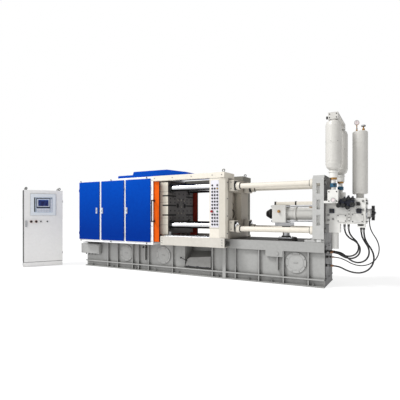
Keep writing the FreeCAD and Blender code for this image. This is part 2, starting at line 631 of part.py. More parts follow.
node("push_buttons", make_buttons())
stop_place = button_place(0, STOP_ROW)
node("emergency_stop", fuse([
    rod("y", "9", ("-front_plane - 24", "-front_plane - 0.3"), stop_place),
    rod("y", "stop_radius", ("-front_plane - 36", "-front_plane - 22"), stop_place)]))


def make_eye(x, y, z):
    """A lifting eye: a short shank under a ring that stands across the machine."""
    shank = rod("z", "eye_wire * 1.4", (z, f"{z} + 22"), (x, y))
    ring = doc.addObject("Part::Torus", "Ring")
    bind(ring, Radius1="eye_radius - eye_wire", Radius2="eye_wire")
    ring.Placement = FreeCAD.Placement(V(), TURNS["y"])
    place(ring, x, y, f"{z} + 12 + eye_radius")
    return fuse([shank, ring])



# ---------------------------------------------------------------------------------------------
# Injection side: end plate, four bars and the shot cylinder
# ---------------------------------------------------------------------------------------------
SHOT_Z = "(bar_height - shot_drop)"
SHOT_BARS = [(f"{side}shot_bar_side", height) for side in ("-", "")
             for height in ("shot_bar_high", "shot_bar_low")]


def make_shot_plate():
    half = "shot_plate_half"
    plate = profile("YZ", ((f"-{half}", "shot_plate_bottom"), (half, "shot_plate_bottom"),
                           (half, "shot_plate_top - shot_plate_bevel"),
                           (f"{half} - shot_plate_bevel", "shot_plate_top"),
                           (f"-{half} + shot_plate_bevel", "shot_plate_top"),
                           (f"-{half}", "shot_plate_top - shot_plate_bevel")),
                    "shot_plate_right - shot_plate_left", "shot_plate_left")
    middle = "(shot_plate_left + shot_plate_right) / 2"
    pockets = []
    for low, high in (("bed_height + 750", "bed_height + 910"), ("bed_height + 508", "bed_height + 658"),
                      ("bed_height + 260", "bed_height + 421")):
        for near, far in both_sides(f"{half} - pocket_depth", f"{half} + 1"):
            pockets.append(block((f"{middle} - pocket_width / 2", f"{middle} + pocket_width / 2"),
                                 (near, far), (low, high)))
    bores = [rod("x", "shot_bar_radius", ("shot_plate_left - 1", "shot_plate_right - 60"), where)
             for where in SHOT_BARS]
    seat = rod("x", "shot_radius", ("shot_plate_left - 1", "shot_plate_right + 1"), ("0", SHOT_Z))
    return cut(plate, pockets + bores + [seat])


node("shot_end_plate", fuse([
    make_shot_plate(),
    block(("shot_plate_left - 130", "shot_plate_right"), (f"-{HALF_BED} + 10", f"{HALF_BED} - 10"),
          ("bed_height", "bed_height + 30")),
    block(("shot_plate_left - 20", "shot_plate_right"), (f"-{HALF_BED} + 30", f"{HALF_BED} - 30"),
          ("bed_height + 29", "shot_plate_bottom"))]))
node("shot_bars", fuse([rod("x", "shot_bar_radius", (BAR_RIGHT, "shot_plate_right - 60"), where)
                        for where in SHOT_BARS]))
COLLARS = ((BAR_RIGHT, f"{BAR_RIGHT} + shot_collar_length", "shot_collar"),
           ("shot_plate_left - 45", "shot_plate_left", "shot_bar_radius + 21"))
node("shot_bar_collars", cut(
    fuse([rod("x", radius, (low, high), where) for low, high, radius in COLLARS for where in SHOT_BARS]),
    [rod("x", "shot_bar_radius", (f"{low} - 1", f"{high} + 1"), where)
     for low, high, radius in COLLARS for where in SHOT_BARS]))

node("shot_cylinder", cut(
    rod("x", "shot_radius", ("shot_left", "shot_plate_right"), ("0", SHOT_Z)),
    [rod("x", "shot_rod_radius + shot_rod_fit", ("shot_left - 1", "shot_plate_right - 60"), ("0", SHOT_Z))]))
node("shot_head", cut(
    block(("head_left", "shot_left"), ("-head_half", "head_half"),
          (f"{SHOT_Z} - head_half", f"{SHOT_Z} + head_half")),
    [rod("x", "shot_rod_radius + shot_rod_fit", ("head_left - 1", "shot_left + 1"), ("0", SHOT_Z))]))
node("shot_plunger", fuse([
    rod("x", "shot_rod_radius", ("nose_step + 19", "shot_plate_right - 90"), ("0", SHOT_Z)),
    cone("x", ("nose_radius * 0.6", "nose_radius"), ("nose_left", "nose_step"), ("0", SHOT_Z)),
    rod("x", "nose_radius", ("nose_step", "nose_step + 20"), ("0", SHOT_Z))]))
node("stroke_rail", block(("head_left + 10", "shot_plate_left"), ("-lamp_half", "lamp_half"),
                          ("lamp_height - lamp_half", "lamp_height + lamp_half")))
JACK = "(shot_left - 30)"
node("height_jack", fuse([
    block(("head_left + 40", "shot_left + 80"), ("-110", "110"),
          (f"{SHOT_Z} - head_half - 60", f"{SHOT_Z} - head_half")),
    rod("z", "jack_radius", ("bed_height + 40", f"{SHOT_Z} - head_half - 59"), (JACK, "0")),
    block((f"{JACK} - jack_base / 2", f"{JACK} + jack_base / 2"), ("-jack_base / 2", "jack_base / 2"),
          ("bed_height", "bed_height + 41"))]))

# ---------------------------------------------------------------------------------------------
# Hydraulics on the injection end
# ---------------------------------------------------------------------------------------------
MANIFOLD_SIDE = ("-manifold_front", "manifold_back")
THROTTLE = ("-200", "throttle_height")
node("valve_manifold", fuse([
    block(("manifold_left", "manifold_right"), MANIFOLD_SIDE, ("manifold_bottom", "manifold_top")),
    rod("x", "62", ("manifold_right - 1", "manifold_right + throttle_reach"), THROTTLE)]))
VALVE_BACK = "-manifold_front"
node("cartridge_valves", fuse([
    block(("manifold_left + 215", "manifold_left + 415"), ("-manifold_front - 60", VALVE_BACK),
          ("manifold_top - 135", "manifold_top - 15")),
    block(("manifold_left + 60", "manifold_left + 130"), ("-manifold_front - 22", VALVE_BACK),
          ("manifold_bottom + 165", "manifold_bottom + 230")),
    block(("manifold_left + 442", "manifold_left + 510"), ("-manifold_front - 22", VALVE_BACK),
          ("manifold_bottom + 165", "manifold_bottom + 230"))]))


def make_bottle(along, side, radius, low, high):
    """A forged gas bottle: rounded foot, straight wall and a neck."""
    half = f"({radius})"
    return turned((("0", low), (f"{half} * 0.5", low), (f"{half} * 0.86", f"{low} + {half} * 0.3"),
                   (half, f"{low} + {half} * 0.75"), (half, f"{high} - {half} * 0.75"),
                   (f"{half} * 0.86", f"{high} - {half} * 0.3"), (f"{half} * 0.4", high), ("0", high)),
                  (along, side, "0"))


for name, side in (("front", "-bottle_side"), ("rear", "bottle_side")):
    node(f"accumulator_{name}", make_bottle("bottle_along", side, "bottle_radius", "bottle_bottom", "bottle_top"))

# A cap block on each accumulator and the plate that ties the two together.
CAP_FOOT = "bottle_top - 12"
node("accumulator_bridge", cut(fuse(
    [block(("bottle_along - bottle_cap", "bottle_along + bottle_cap"), (f"{side} - bottle_cap * 0.8",
           f"{side} + bottle_cap * 0.8"), (CAP_FOOT, "bottle_top + cap_height"))
     for side in ("-bottle_side", "bottle_side")]
    + [block(("bottle_along - bottle_cap * 0.6", "bottle_along + bottle_cap"), ("-bottle_side", "bottle_side"),
             ("bottle_top + cap_height - 30", "bottle_top + cap_height")),
       rod("x", "9", ("bottle_along - bottle_cap - 36", "bottle_along - bottle_cap + 1"),
           ("-bottle_side", "bottle_top + 40"))]),
    [block(("bottle_along - bottle_radius", "bottle_along + bottle_radius"), (f"{side} - bottle_radius",
           f"{side} + bottle_radius"), ("bottle_top - 40", "bottle_top"))
     for side in ("-bottle_side", "bottle_side")]))


def make_bottle_seat(side):
    """Port block and neck between the manifold and a standing bottle."""
    foot = block(("bottle_along - 75", "bottle_along + 75"), (f"{side} - 75", f"{side} + 75"),
                 ("manifold_top - 40", "manifold_top + 125"))
    neck = rod("z", "34", ("manifold_top + 124", "manifold_top + 310"), ("bottle_along", side))
    collar = rod("z", "62", ("manifold_top + 309", "bottle_bottom"), ("bottle_along", side))
    return fuse([foot, neck, collar])


node("bottle_seats", fuse([
    make_bottle_seat("-bottle_side"), make_bottle_seat("bottle_side"),
    block(("manifold_left", "manifold_left + 200"), ("manifold_back", "bottle_side + 75"),
          ("manifold_top - 75", "manifold_top - 39")),
    block(("manifold_left", "manifold_left + 200"), ("-bottle_side - 75", "-manifold_front"),
          ("manifold_top - 75", "manifold_top - 39"))]))
node("gas_bottle", turned((("0", "gas_bottom"), ("gas_radius - gas_round", "gas_bottom"),
                           ("gas_radius", "gas_bottom + gas_round"), ("gas_radius", "gas_top - gas_round"),
                           ("gas_radius - gas_round", "gas_top"), ("0", "gas_top")),
                          ("gas_along", "-gas_side", "0")))
node("gas_bottle_seat", rod("z", "gas_radius * 0.5", ("manifold_top", "gas_bottom"), ("gas_along", "-gas_side")))
GAUGE = "(gas_along - gauge_reach)"
WHEEL_STEM = "(gas_along + gauge_reach)"
node("gas_valve", fuse([
    rod("y", "36", ("-gas_side - 18", "-gas_side + 14"), (GAUGE, "gas_top + 142")),
    rod("z", "8", ("gas_top", "gas_top + 110"), (GAUGE, "-gas_side")),
    rod("z", "14", ("gas_top", "gas_top + 34"), (GAUGE, "-gas_side")),
    rod("z", "20", ("gas_top", "gas_top + 42"), (WHEEL_STEM, "-gas_side")),
    rod("z", "9", ("gas_top + 41", "gas_top + 72"), (WHEEL_STEM, "-gas_side"))]))
node("gas_handwheel", rod("z", "30", ("gas_top + 72 + wheel_gap", "gas_top + 94"), (WHEEL_STEM, "-gas_side")))

WHEEL_ENDS = ("manifold_right + throttle_reach + wheel_gap", "manifold_right + throttle_reach + 42")
LOBE_SPREAD = "(wheel_radius - wheel_lobe)"
node("throttle_wheel", fuse([rod("x", "wheel_radius * 0.62", WHEEL_ENDS, THROTTLE)] + [
    rod("x", "wheel_lobe", WHEEL_ENDS, (f"{THROTTLE[0]} + {LOBE_SPREAD} * cos({60 * lobe + 30} deg)",
                                         f"{THROTTLE[1]} + {LOBE_SPREAD} * sin({60 * lobe + 30} deg)"))
    for lobe in range(6)] + [rod("x", "wheel_lobe", (WHEEL_ENDS[0], "manifold_right + throttle_reach + 50"),
                                 THROTTLE)]))

COLUMN_SIDE = "-manifold_front + 75"
node("return_column", fuse([
    rod("z", "column_radius", ("column_bottom", "manifold_bottom - 85"), ("bottle_along", COLUMN_SIDE)),
    block(("bottle_along - 80", "bottle_along + 80"), ("-manifold_front", "-manifold_front + 150"),
          ("manifold_bottom - 135", "manifold_bottom")),
    block(("manifold_left + 450", "manifold_left + 560"), ("-manifold_front + 10", "-manifold_front + 110"),
          ("port_block", "manifold_bottom"))]))

# Each hose hangs from its own fitting under the valve block to one on the bed's end face.
# A route is straight runs between hand-chosen points, joined by arcs tangent to both runs.
HOSES = {
    "hose_1": ("hose_radius", [
        (2800, -250, 945), (2800, -250, 859), (2868, -259, 769), (2970, -268, 721),
        (3028, -278, 625), (3002, -285, 515), (2904, -289, 459), (2794, -290, 481),
        (2700, -290, 545), (2600, -290, 545)]),
    "hose_2": ("hose_radius", [
        (2850, -180, 945), (2850, -180, 865), (2899, -186, 781), (2972, -192, 715),
        (3000, -199, 622), (2964, -204, 531), (2878, -207, 485), (2781, -209, 497),
        (2695, -210, 545), (2600, -210, 545)]),
    "hose_3": ("hose_radius", [
        (3030, -230, 905), (3030, -230, 820), (3077, -240, 724), (3135, -249, 634),
        (3142, -252, 527), (3087, -245, 435), (2987, -225, 396), (2883, -195, 421),
        (2803, -164, 492), (2710, -130, 545), (2600, -130, 545)]),
    "hose_4": ("hose_radius", [
        (3070, -265, 905), (3070, -265, 810), (3111, -275, 706), (3176, -285, 616),
        (3210, -295, 510), (3195, -300, 399), (3131, -298, 308), (3032, -290, 258),
        (2920, -278, 256), (2818, -264, 284), (2712, -250, 335), (2600, -250, 335)]),
    "hose_5": ("thin_hose_radius", [
        (3140, -200, 1066), (3140, -200, 961), (3178, -209, 855), (3240, -219, 761),
        (3274, -228, 654), (3266, -233, 542), (3213, -232, 443), (3122, -224, 376),
        (3012, -212, 353), (2901, -197, 373), (2802, -182, 426), (2695, -170, 460),
        (2600, -170, 460)]),
}


def make_hose(radius, points):
    points = [V(*point) for point in points]
    runs = [after - before for before, after in zip(points, points[1:])]
    edges = []
    tip = points[0]
    radii = []
    for point, before, after in zip(points[1:-1], runs, runs[1:]):
        half_turn = before.getAngle(after) / 2
        trim = 0.45 * min(before.Length, after.Length)
        bend = trim / math.tan(half_turn)
        radii.append(round(bend))
        way_in = V(before).normalize()
        way_out = V(after).normalize()
        start = point - way_in * trim
        finish = point + way_out * trim
        inward = (way_out - way_in).normalize()
        middle = point + inward * (bend / math.cos(half_turn) - bend)
        edges.append(Part.LineSegment(tip, start).toShape())
        edges.append(Part.Arc(start, middle, finish).toShape())
        tip = finish
    edges.append(Part.LineSegment(tip, points[-1]).toShape())
    path = Part.Wire(edges)
    ring = Part.Wire([Part.makeCircle(radius, points[0], runs[0])])
    hose = path.makePipeShell([ring], True, False)
    expected = math.pi * radius ** 2 * path.Length
    if abs(hose.Volume / expected - 1) > 0.01:
        raise RuntimeError("a hose has lost its section")
    print("hose length", round(path.Length), "bend radii", radii)
    return hose


for name, (alias, points) in HOSES.items():
    hose = doc.addObject("Part::Feature", name)
    hose.Shape = make_hose(SIZES[alias], points)
    hose.Placement = FreeCAD.Placement()
    node(name, hose)

# A fitting hangs from its port down to its hose, or reaches out from the bed's end to it; a place
# along the machine is given from the end of the bed.
CEILINGS = {"hose_3": "port_block", "hose_4": "port_block", "hose_5": "throttle_height - 62"}
BED_END = 2530
fittings = []
for name, (alias, points) in HOSES.items():
    top, foot = points[0], points[-1]
    ceiling = CEILINGS.get(name, "manifold_bottom")
    along = f"manifold_left + {top[0] - BED_END}"
    drop = {"hose_3": 30, "hose_4": 30, "hose_5": 22}.get(name, 40)
    fittings.append(rod("z", "fitting_radius", (f"{ceiling} - {drop}", ceiling), (along, str(top[1]))))
    fittings.append(rod("x", "fitting_radius", (END, f"{END} + fitting_reach"), (str(foot[1]), str(foot[2]))))
node("hose_fittings", fuse(fittings))

# ---------------------------------------------------------------------------------------------
# Control cabinet, standing apart and turned towards the operator
# ---------------------------------------------------------------------------------------------


def stand(thing):
    """Moves a piece drawn at the cabinet's own corner to where the cabinet stands."""
    holder = doc.addObject("Part::Compound", "Stood")
    holder.Links = [thing]
    holder.setExpression(".Placement.Rotation.Axis.z", "1")
    holder.setExpression(".Placement.Rotation.Axis.x", "0")
    holder.setExpression(".Placement.Rotation.Axis.y", "0")
    holder.setExpression(".Placement.Rotation.Angle", bound("cabinet_turn"))
    return place(holder, "cabinet_along", "cabinet_side", "0")


CAB_X = ("0", "cabinet_width")
CAB_BODY = block(CAB_X, ("cabinet_door + cabinet_seam", "cabinet_depth"), ("plinth_height", "cabinet_height"))
CAB_SPACE = block(("cabinet_wall", "cabinet_width - cabinet_wall"),
                  ("cabinet_door + cabinet_seam - 1", "cabinet_door + cabinet_recess"),
                  ("plinth_height + cabinet_wall", "cabinet_height - cabinet_wall"))
CAB_PLINTH = block(("plinth_set", "cabinet_width - plinth_set"),
                   ("cabinet_door + plinth_set", "cabinet_depth - plinth_set"), ("0", "plinth_height + 1"))
node("cabinet_body", stand(fuse([cut(CAB_BODY, [CAB_SPACE]), CAB_PLINTH])))
node("cabinet_door", stand(fuse(
    [block(CAB_X, ("0", "cabinet_door"), ("plinth_height", "cabinet_height"))]
    + hinge_barrels("cabinet_width", "0", ("plinth_height + 160", "cabinet_height - 260"), 0))))
node("operator_screen", stand(block(("screen_left", "screen_left + screen_width"), ("-12", "0"),
                                    ("screen_bottom", "screen_bottom + screen_height"))))
node("cabinet_controls", stand(fuse(
    [rod("y", radius, ("-26", "0"), (along, "972"))
     for radius, along in (("24", "157"), ("24", "254"), ("13", "346"), ("13", "474"))]
    + [block(("40", "75"), ("-18", "0"), ("860", "990"))])))
cabinet_eyes = stand(fuse([make_eye(along, side, "cabinet_height")
                           for along in ("60", "cabinet_width - 60")
                           for side in ("90", "cabinet_depth - 60")]))
machine_eyes = [make_eye("portal_right - 70", side, "beam_top") for side in ("-500", "500")]
node("lifting_eyes", fuse(machine_eyes + [cabinet_eyes]))

# ---------------------------------------------------------------------------------------------
# Check and write
# ---------------------------------------------------------------------------------------------
doc.recompute()
faults = [item.Name for item in doc.Objects if {"Invalid", "Error"} & set(item.State)]
for item in NODES:
    if item.Shape.isNull() or not item.Shape.isValid() or not item.Shape.Solids:
        faults.append(item.Label)
if faults:
    raise RuntimeError("failed: " + ", ".join(faults))
os.makedirs("parts", exist_ok=True)
for item in NODES:
    item.Shape.exportStep(f"parts/{item.Label}.step")
print(len(NODES), "sub-parts written")
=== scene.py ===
"""Looks of the cold chamber die casting machine: finishes, fittings, hoses, camera and light.

Metres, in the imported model's own frame: +X towards the injection end, -Y towards the operator.
"""
import json
import math
import random
import bmesh
import bpy
from mathutils import Matrix, Vector

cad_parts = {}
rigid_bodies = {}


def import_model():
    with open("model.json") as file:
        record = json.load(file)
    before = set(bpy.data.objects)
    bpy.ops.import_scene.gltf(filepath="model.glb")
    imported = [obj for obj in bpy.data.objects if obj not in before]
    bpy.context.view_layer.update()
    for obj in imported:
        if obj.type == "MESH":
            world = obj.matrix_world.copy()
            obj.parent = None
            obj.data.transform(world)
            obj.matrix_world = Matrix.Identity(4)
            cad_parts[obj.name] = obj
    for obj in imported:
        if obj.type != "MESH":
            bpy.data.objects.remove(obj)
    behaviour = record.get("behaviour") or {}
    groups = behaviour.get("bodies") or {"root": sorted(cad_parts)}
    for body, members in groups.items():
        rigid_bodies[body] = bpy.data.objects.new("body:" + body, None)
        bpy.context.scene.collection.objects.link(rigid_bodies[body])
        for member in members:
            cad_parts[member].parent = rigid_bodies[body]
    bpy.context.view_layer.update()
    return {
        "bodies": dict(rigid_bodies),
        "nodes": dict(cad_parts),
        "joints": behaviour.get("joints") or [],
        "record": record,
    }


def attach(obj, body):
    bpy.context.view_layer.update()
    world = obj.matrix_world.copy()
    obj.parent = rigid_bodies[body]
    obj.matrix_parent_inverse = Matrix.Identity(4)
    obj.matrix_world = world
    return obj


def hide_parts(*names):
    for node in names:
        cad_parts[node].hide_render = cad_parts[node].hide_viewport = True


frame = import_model()
NODES = frame["nodes"]
BODY = "machine"


# ---------------------------------------------------------------------------------------------
# Camera and light
# ---------------------------------------------------------------------------------------------
def make_camera():
    data = bpy.data.cameras.new("Camera")
    data.sensor_width = 36.0
    data.lens = 31.95
    data.shift_y = 0.035
    camera = bpy.data.objects.new("Camera", data)
    camera.location = (3.497, -6.06, 1.136)
    camera.rotation_euler = (math.radians(90), 0, math.radians(29))
    bpy.context.scene.collection.objects.link(camera)
    bpy.context.scene.camera = camera


def make_area_light(name, location, target, size, watts):
    data = bpy.data.lights.new(name, "AREA")
    data.shape = "RECTANGLE"
    data.size = size[0]
    data.size_y = size[1]
    data.energy = watts
    light = bpy.data.objects.new(name, data)
    light.location = location
    aim = Vector(target) - Vector(location)
    light.rotation_euler = aim.to_track_quat("-Z", "Y").to_euler()
    bpy.context.scene.collection.objects.link(light)


def make_sun(strength, direction, softness):
    data = bpy.data.lights.new("Sun", "SUN")
    data.energy = strength
    data.angle = math.radians(softness)
    light = bpy.data.objects.new("Sun", data)
    light.rotation_euler = Vector(direction).to_track_quat("-Z", "Y").to_euler()
    bpy.context.scene.collection.objects.link(light)


def make_world():
    """A white backdrop that lights the object less than it shines."""
    world = bpy.data.worlds.new("Studio")
    world.use_nodes = True
    tree = world.node_tree
    background = tree.nodes["Background"]
    background.inputs["Color"].default_value = (1.0, 1.0, 1.0, 1.0)
    path = tree.nodes.new("ShaderNodeLightPath")
    strength = tree.nodes.new("ShaderNodeMapRange")
    strength.inputs["To Min"].default_value = 0.42
    strength.inputs["To Max"].default_value = 1.0
    tree.links.new(path.outputs["Is Camera Ray"], strength.inputs["Value"])
    tree.links.new(strength.outputs["Result"], background.inputs["Strength"])
    bpy.context.scene.world = world


def make_studio():
    bpy.context.scene.view_settings.view_transform = "Standard"
    make_camera()
    make_world()
    make_sun(2.5, (0.62, 0.56, -0.92), 14)
    make_area_light("Key", (-3.0, -8.0, 4.5), (0.0, 0.0, 0.9), (6.0, 3.0), 170)
    mesh = bpy.data.meshes.new("Floor")
    reach = 60.0
    mesh.from_pydata([(-reach, -reach, 0), (reach, -reach, 0), (reach, reach, 0), (-reach, reach, 0)],
                     [], [(0, 1, 2, 3)])
    floor = bpy.data.objects.new("Floor", mesh)
    bpy.context.scene.collection.objects.link(floor)
    floor.data.materials.append(floor_material())


# ---------------------------------------------------------------------------------------------
# Materials
# ---------------------------------------------------------------------------------------------
def linear(red, green, blue):
    """An sRGB colour in 0..255 as a linear RGBA tuple."""
    def channel(value):
        value /= 255
        return value / 12.92 if value <= 0.04045 else ((value + 0.055) / 1.055) ** 2.4
    return channel(red), channel(green), channel(blue), 1.0


class Graph:
    """A shader tree with short calls for adding and wiring nodes."""

    def __init__(self, name):
        self.material = bpy.data.materials.new(name)
        self.material.use_nodes = True
        self.tree = self.material.node_tree
        self.shader = self.tree.nodes["Principled BSDF"]
        self.coords = self.tree.nodes.new("ShaderNodeTexCoord").outputs["Object"]

    def node(self, kind, inputs=None, **settings):
        made = self.tree.nodes.new("ShaderNode" + kind)
        for key, value in settings.items():
            setattr(made, key, value)
        for key, value in (inputs or {}).items():
            self.feed(made.inputs[key], value)
        return made

    def feed(self, socket, value):
        if isinstance(value, bpy.types.NodeSocket):
            self.tree.links.new(value, socket)
        else:
            socket.default_value = value

    def set(self, **values):
        for key, value in values.items():
            self.feed(self.shader.inputs[key.replace("_", " ")], value)

    def noise(self, scale, detail=3.0, rough=0.5, stretch=(1, 1, 1), distortion=0.0):
        mapping = self.node("Mapping", {"Vector": self.coords, "Scale": stretch})
        return self.node("TexNoise", {"Vector": mapping.outputs[0], "Scale": scale, "Detail": detail,
                                      "Roughness": rough, "Distortion": distortion}).outputs["Fac"]

    def ramp(self, value, low, high, out_low=0.0, out_high=1.0):
        return self.node("MapRange", {"Value": value, "From Min": low, "From Max": high,
                                      "To Min": out_low, "To Max": out_high}).outputs["Result"]

    def mix(self, factor, first, second, kind="MIX"):
        made = self.node("MixRGB", {"Fac": factor, "Color1": first, "Color2": second}, blend_type=kind)
        return made.outputs["Color"]

    def math(self, kind, first, second=0.0):
        made = self.tree.nodes.new("ShaderNodeMath")
        made.operation = kind
        self.feed(made.inputs[0], first)
        self.feed(made.inputs[1], second)
        return made.outputs[0]

    def bump(self, height, strength, distance):
        made = self.node("Bump", {"Height": height, "Strength": strength, "Distance": distance})
        self.set(Normal=made.outputs["Normal"])

    def facing(self, axis, low=0.6, high=0.8):
        """1 where the flat face looks along an axis such as "+x", 0 elsewhere."""
        flat = self.node("NewGeometry").outputs["Normal"]
        split = self.node("SeparateXYZ", {"Vector": flat}).outputs["XYZ".index(axis[1].upper())]
        if axis[0] == "-":
            split = self.math("MULTIPLY", split, -1.0)
        return self.ramp(split, low, high)

    def along(self, axis, low, high):
        """0 below one place on an axis and 1 above another, in metres."""
        split = self.node("SeparateXYZ", {"Vector": self.coords}).outputs["XYZ".index(axis.upper())]
        return self.ramp(split, low, high)

    def corners(self, reach):
        """1 in open places, falling towards 0 in corners and crevices."""
        return self.node("AmbientOcclusion", {"Distance": reach}, samples=6).outputs["AO"]

    def edges(self, radius):
        """1 on sharp edges and 0 on flat faces."""
        rounded = self.node("Bevel", {"Radius": radius}, samples=4).outputs["Normal"]
        flat = self.node("NewGeometry").outputs["Normal"]
        dot = self.node("VectorMath", {0: rounded, 1: flat}, operation="DOT_PRODUCT").outputs["Value"]
        return self.ramp(dot, 0.995, 0.93)


def scaled(colour, factor):
    return tuple(min(1.0, channel * factor) for channel in colour[:3]) + (1.0,)


def paint(name, colour, rough=0.38, peel=0.25, corner_shade_and_dust=0.45, wear=0.3, chip=(150, 148, 145), zones=(),
          gloss=0.35):
    """Enamel or powder coat: uneven tone, orange peel, dust and painted shade in corners, and worn edges.

    zones are further colours, among them painted shade and painted light, each with a call that says where it lies.
    """
    graph = Graph(name)
    tone = graph.noise(1.3, 4, 0.55)
    body = graph.mix(graph.ramp(tone, 0.3, 0.7), scaled(colour, 0.95), scaled(colour, 1.03))
    for shade, where in zones:
        body = graph.mix(where(graph), body, shade)
    mottle = graph.noise(22, 3, 0.6)
    body = graph.mix(graph.ramp(mottle, 0.35, 0.7, 0.0, 0.14), body, scaled(colour, 0.86), "MULTIPLY")
    # Painted shade: ambient occlusion darkens corners and crevices towards a dark brown, broken into patches by noise
    # like dust.
    open_air = graph.corners(0.09)
    dust = graph.math("MULTIPLY", graph.ramp(open_air, 0.8, 0.25), graph.ramp(graph.noise(5), 0.3, 0.6, 0.8, 1.0))
    body = graph.mix(graph.math("MULTIPLY", dust, corner_shade_and_dust), body, linear(52, 49, 46))
    rubbed = graph.math("MULTIPLY", graph.edges(0.004), graph.ramp(graph.noise(30, 5, 0.7), 0.52, 0.62))
    rubbed = graph.math("MULTIPLY", rubbed, wear)
    body = graph.mix(rubbed, body, linear(*chip))
    graph.set(Base_Color=body, Roughness=graph.ramp(graph.noise(14, 4), 0.3, 0.7, rough - 0.06, rough + 0.08),
              Specular_IOR_Level=gloss)
    graph.bump(graph.noise(320, 2), peel, 0.0004)
    return graph.material


def cast_iron(name, colour, rough=0.5):
    """Ground or cast metal with tool marks and oil stains."""
    graph = Graph(name)
    stain = graph.noise(3.5, 5, 0.6)
    body = graph.mix(graph.ramp(stain, 0.35, 0.65), scaled(colour, 0.7), scaled(colour, 1.2))
    marks = graph.noise(60, 2, 0.5, stretch=(1, 1, 9))
    body = graph.mix(graph.ramp(marks, 0.3, 0.8, 0, 0.4), body, scaled(colour, 1.5))
    graph.set(Base_Color=body, Metallic=0.55, Roughness=graph.ramp(stain, 0.3, 0.7, rough - 0.12, rough + 0.12))
    graph.bump(graph.noise(220, 4, 0.6), 0.3, 0.0005)
    return graph.material


def steel(name, colour, rough=0.3, stretch=(1, 1, 20), metallic=1.0):
    """Turned or brushed steel with fine lines and a few smears."""
    graph = Graph(name)
    lines = graph.noise(90, 3, 0.6, stretch=stretch)
    smear = graph.noise(5, 4, 0.6)
    body = graph.mix(graph.ramp(lines, 0.3, 0.7), scaled(colour, 0.82), scaled(colour, 1.12))
    body = graph.mix(graph.ramp(smear, 0.55, 0.75, 0.0, 0.35), body, scaled(colour, 0.6))
    graph.set(Base_Color=body, Metallic=metallic, Roughness=graph.ramp(smear, 0.3, 0.7, rough - 0.08, rough + 0.14))
    graph.bump(lines, 0.12, 0.0003)
    return graph.material


def chrome(name):
    """Hard-chromed and ground bar with a faint oil film and a painted dark reflection along its top and underside."""
    graph = Graph(name)
    film = graph.noise(6, 4, 0.6, stretch=(0.4, 1, 1))
    body = graph.mix(graph.ramp(film, 0.4, 0.7), linear(226, 227, 230), linear(196, 197, 200))
    # Painted reflection: faces looking up or down are darkened as dark surroundings would mirror in them.
    dark_reflection_band = graph.math("MAXIMUM", graph.facing("+z", 0.38, 0.52), graph.facing("-z", 0.3, 0.5))
    body = graph.mix(graph.math("MULTIPLY", dark_reflection_band, 0.88), body, linear(58, 57, 57))
    graph.set(Base_Color=body, Metallic=1.0, Roughness=graph.ramp(film, 0.35, 0.7, 0.07, 0.2))
    graph.bump(graph.noise(150, 2, 0.5, stretch=(30, 1, 1)), 0.04, 0.0002)
    return graph.material


def plastic(name, colour, rough=0.4, texture=0.2):
    """Moulded plastic with a fine spark-eroded grain and handling marks."""
    graph = Graph(name)
    shade = graph.noise(18, 4, 0.6)
    body = graph.mix(graph.ramp(shade, 0.35, 0.7), scaled(colour, 0.85), scaled(colour, 1.15))
    graph.set(Base_Color=body, Roughness=graph.ramp(graph.noise(40, 4), 0.3, 0.7, rough - 0.08, rough + 0.1))
    graph.bump(graph.noise(900, 2), texture, 0.0002)
    return graph.material


def hose_rubber(name):
    """Hydraulic hose cover: wrapped rubber with a light fabric imprint and dusty bends."""
    graph = Graph(name)
    dust = graph.noise(14, 5, 0.65)
    body = graph.mix(graph.ramp(dust, 0.5, 0.75, 0.0, 0.4), linear(22, 22, 23), linear(66, 64, 62))
    weave = graph.node("TexWave", {"Vector": graph.coords, "Scale": 160.0, "Distortion": 1.5,
                                   "Detail": 1.0}, wave_type="BANDS", bands_direction="DIAGONAL")
    graph.set(Base_Color=body, Roughness=graph.ramp(dust, 0.4, 0.7, 0.42, 0.62))
    graph.bump(weave.outputs["Fac"], 0.3, 0.0006)
    return graph.material


def floor_material():
    graph = Graph("floor_pale")
    tone = graph.noise(0.6, 4)
    graph.set(Base_Color=graph.mix(graph.ramp(tone, 0.3, 0.7), linear(148, 148, 148), linear(151, 151, 151)),
              Roughness=0.8, Specular_IOR_Level=0.0,
              Emission_Color=linear(255, 255, 255), Emission_Strength=0.8)
    return graph.material


def screen_glass(name):
    """A lit control display: pale header and rows of blank fields behind glass."""
    graph = Graph(name)
    height = graph.along("z", 1.308, 1.446)
    rows = graph.math("FRACT", graph.math("MULTIPLY", height, 6.0))
    field = graph.math("MULTIPLY", graph.ramp(rows, 0.62, 0.66), graph.ramp(graph.noise(24, 1), 0.5, 0.52))
    header = graph.ramp(height, 0.88, 0.89)
    body = graph.mix(field, linear(6, 16, 74), linear(40, 72, 140))
    body = graph.mix(header, body, linear(54, 84, 150))
    body = graph.mix(graph.ramp(graph.noise(6, 3), 0.4, 0.7, 0.0, 0.2), body, linear(10, 20, 60))
    graph.set(Base_Color=body, Roughness=graph.ramp(graph.noise(60, 3), 0.3, 0.7, 0.08, 0.2),
              Emission_Color=body, Emission_Strength=0.15)
    graph.bump(graph.noise(400, 2), 0.02, 0.0001)
    return graph.material


def bed_top_and_end_shade(graph):
    """Painted shade: the top of the bed, its chute hollow and its injection end face, darkened as if in shadow."""
    top = graph.math("MULTIPLY", graph.facing("+z"), graph.along("z", 0.69, 0.695))
    end = graph.math("MULTIPLY", graph.facing("+x"), graph.along("x", 2.5, 2.52))
    return graph.math("MAXIMUM", top, end)


def lever_part(graph):
    """The lever in front of the chute's stop plate."""
    return graph.along("y", -0.3835, -0.3845)


def cabinet_side_shade(graph):
    """Painted shade: the side panel of the cabinet that looks away from the machine, darkened as if it stood in
    shadow.
    """
    return graph.facing("-y", 0.72, 0.80)


def handle_part(graph):
    """The cabinet's swing handle, at the free edge of its door."""
    return graph.along("x", -3.392, -3.397)


def end_plate_far_shade(graph):
    """Painted shade: the injection end plate's far face, behind the valve block, darkened as if in shadow."""
    return graph.math("MULTIPLY", graph.facing("+x"), graph.along("x", 2.5, 2.52))


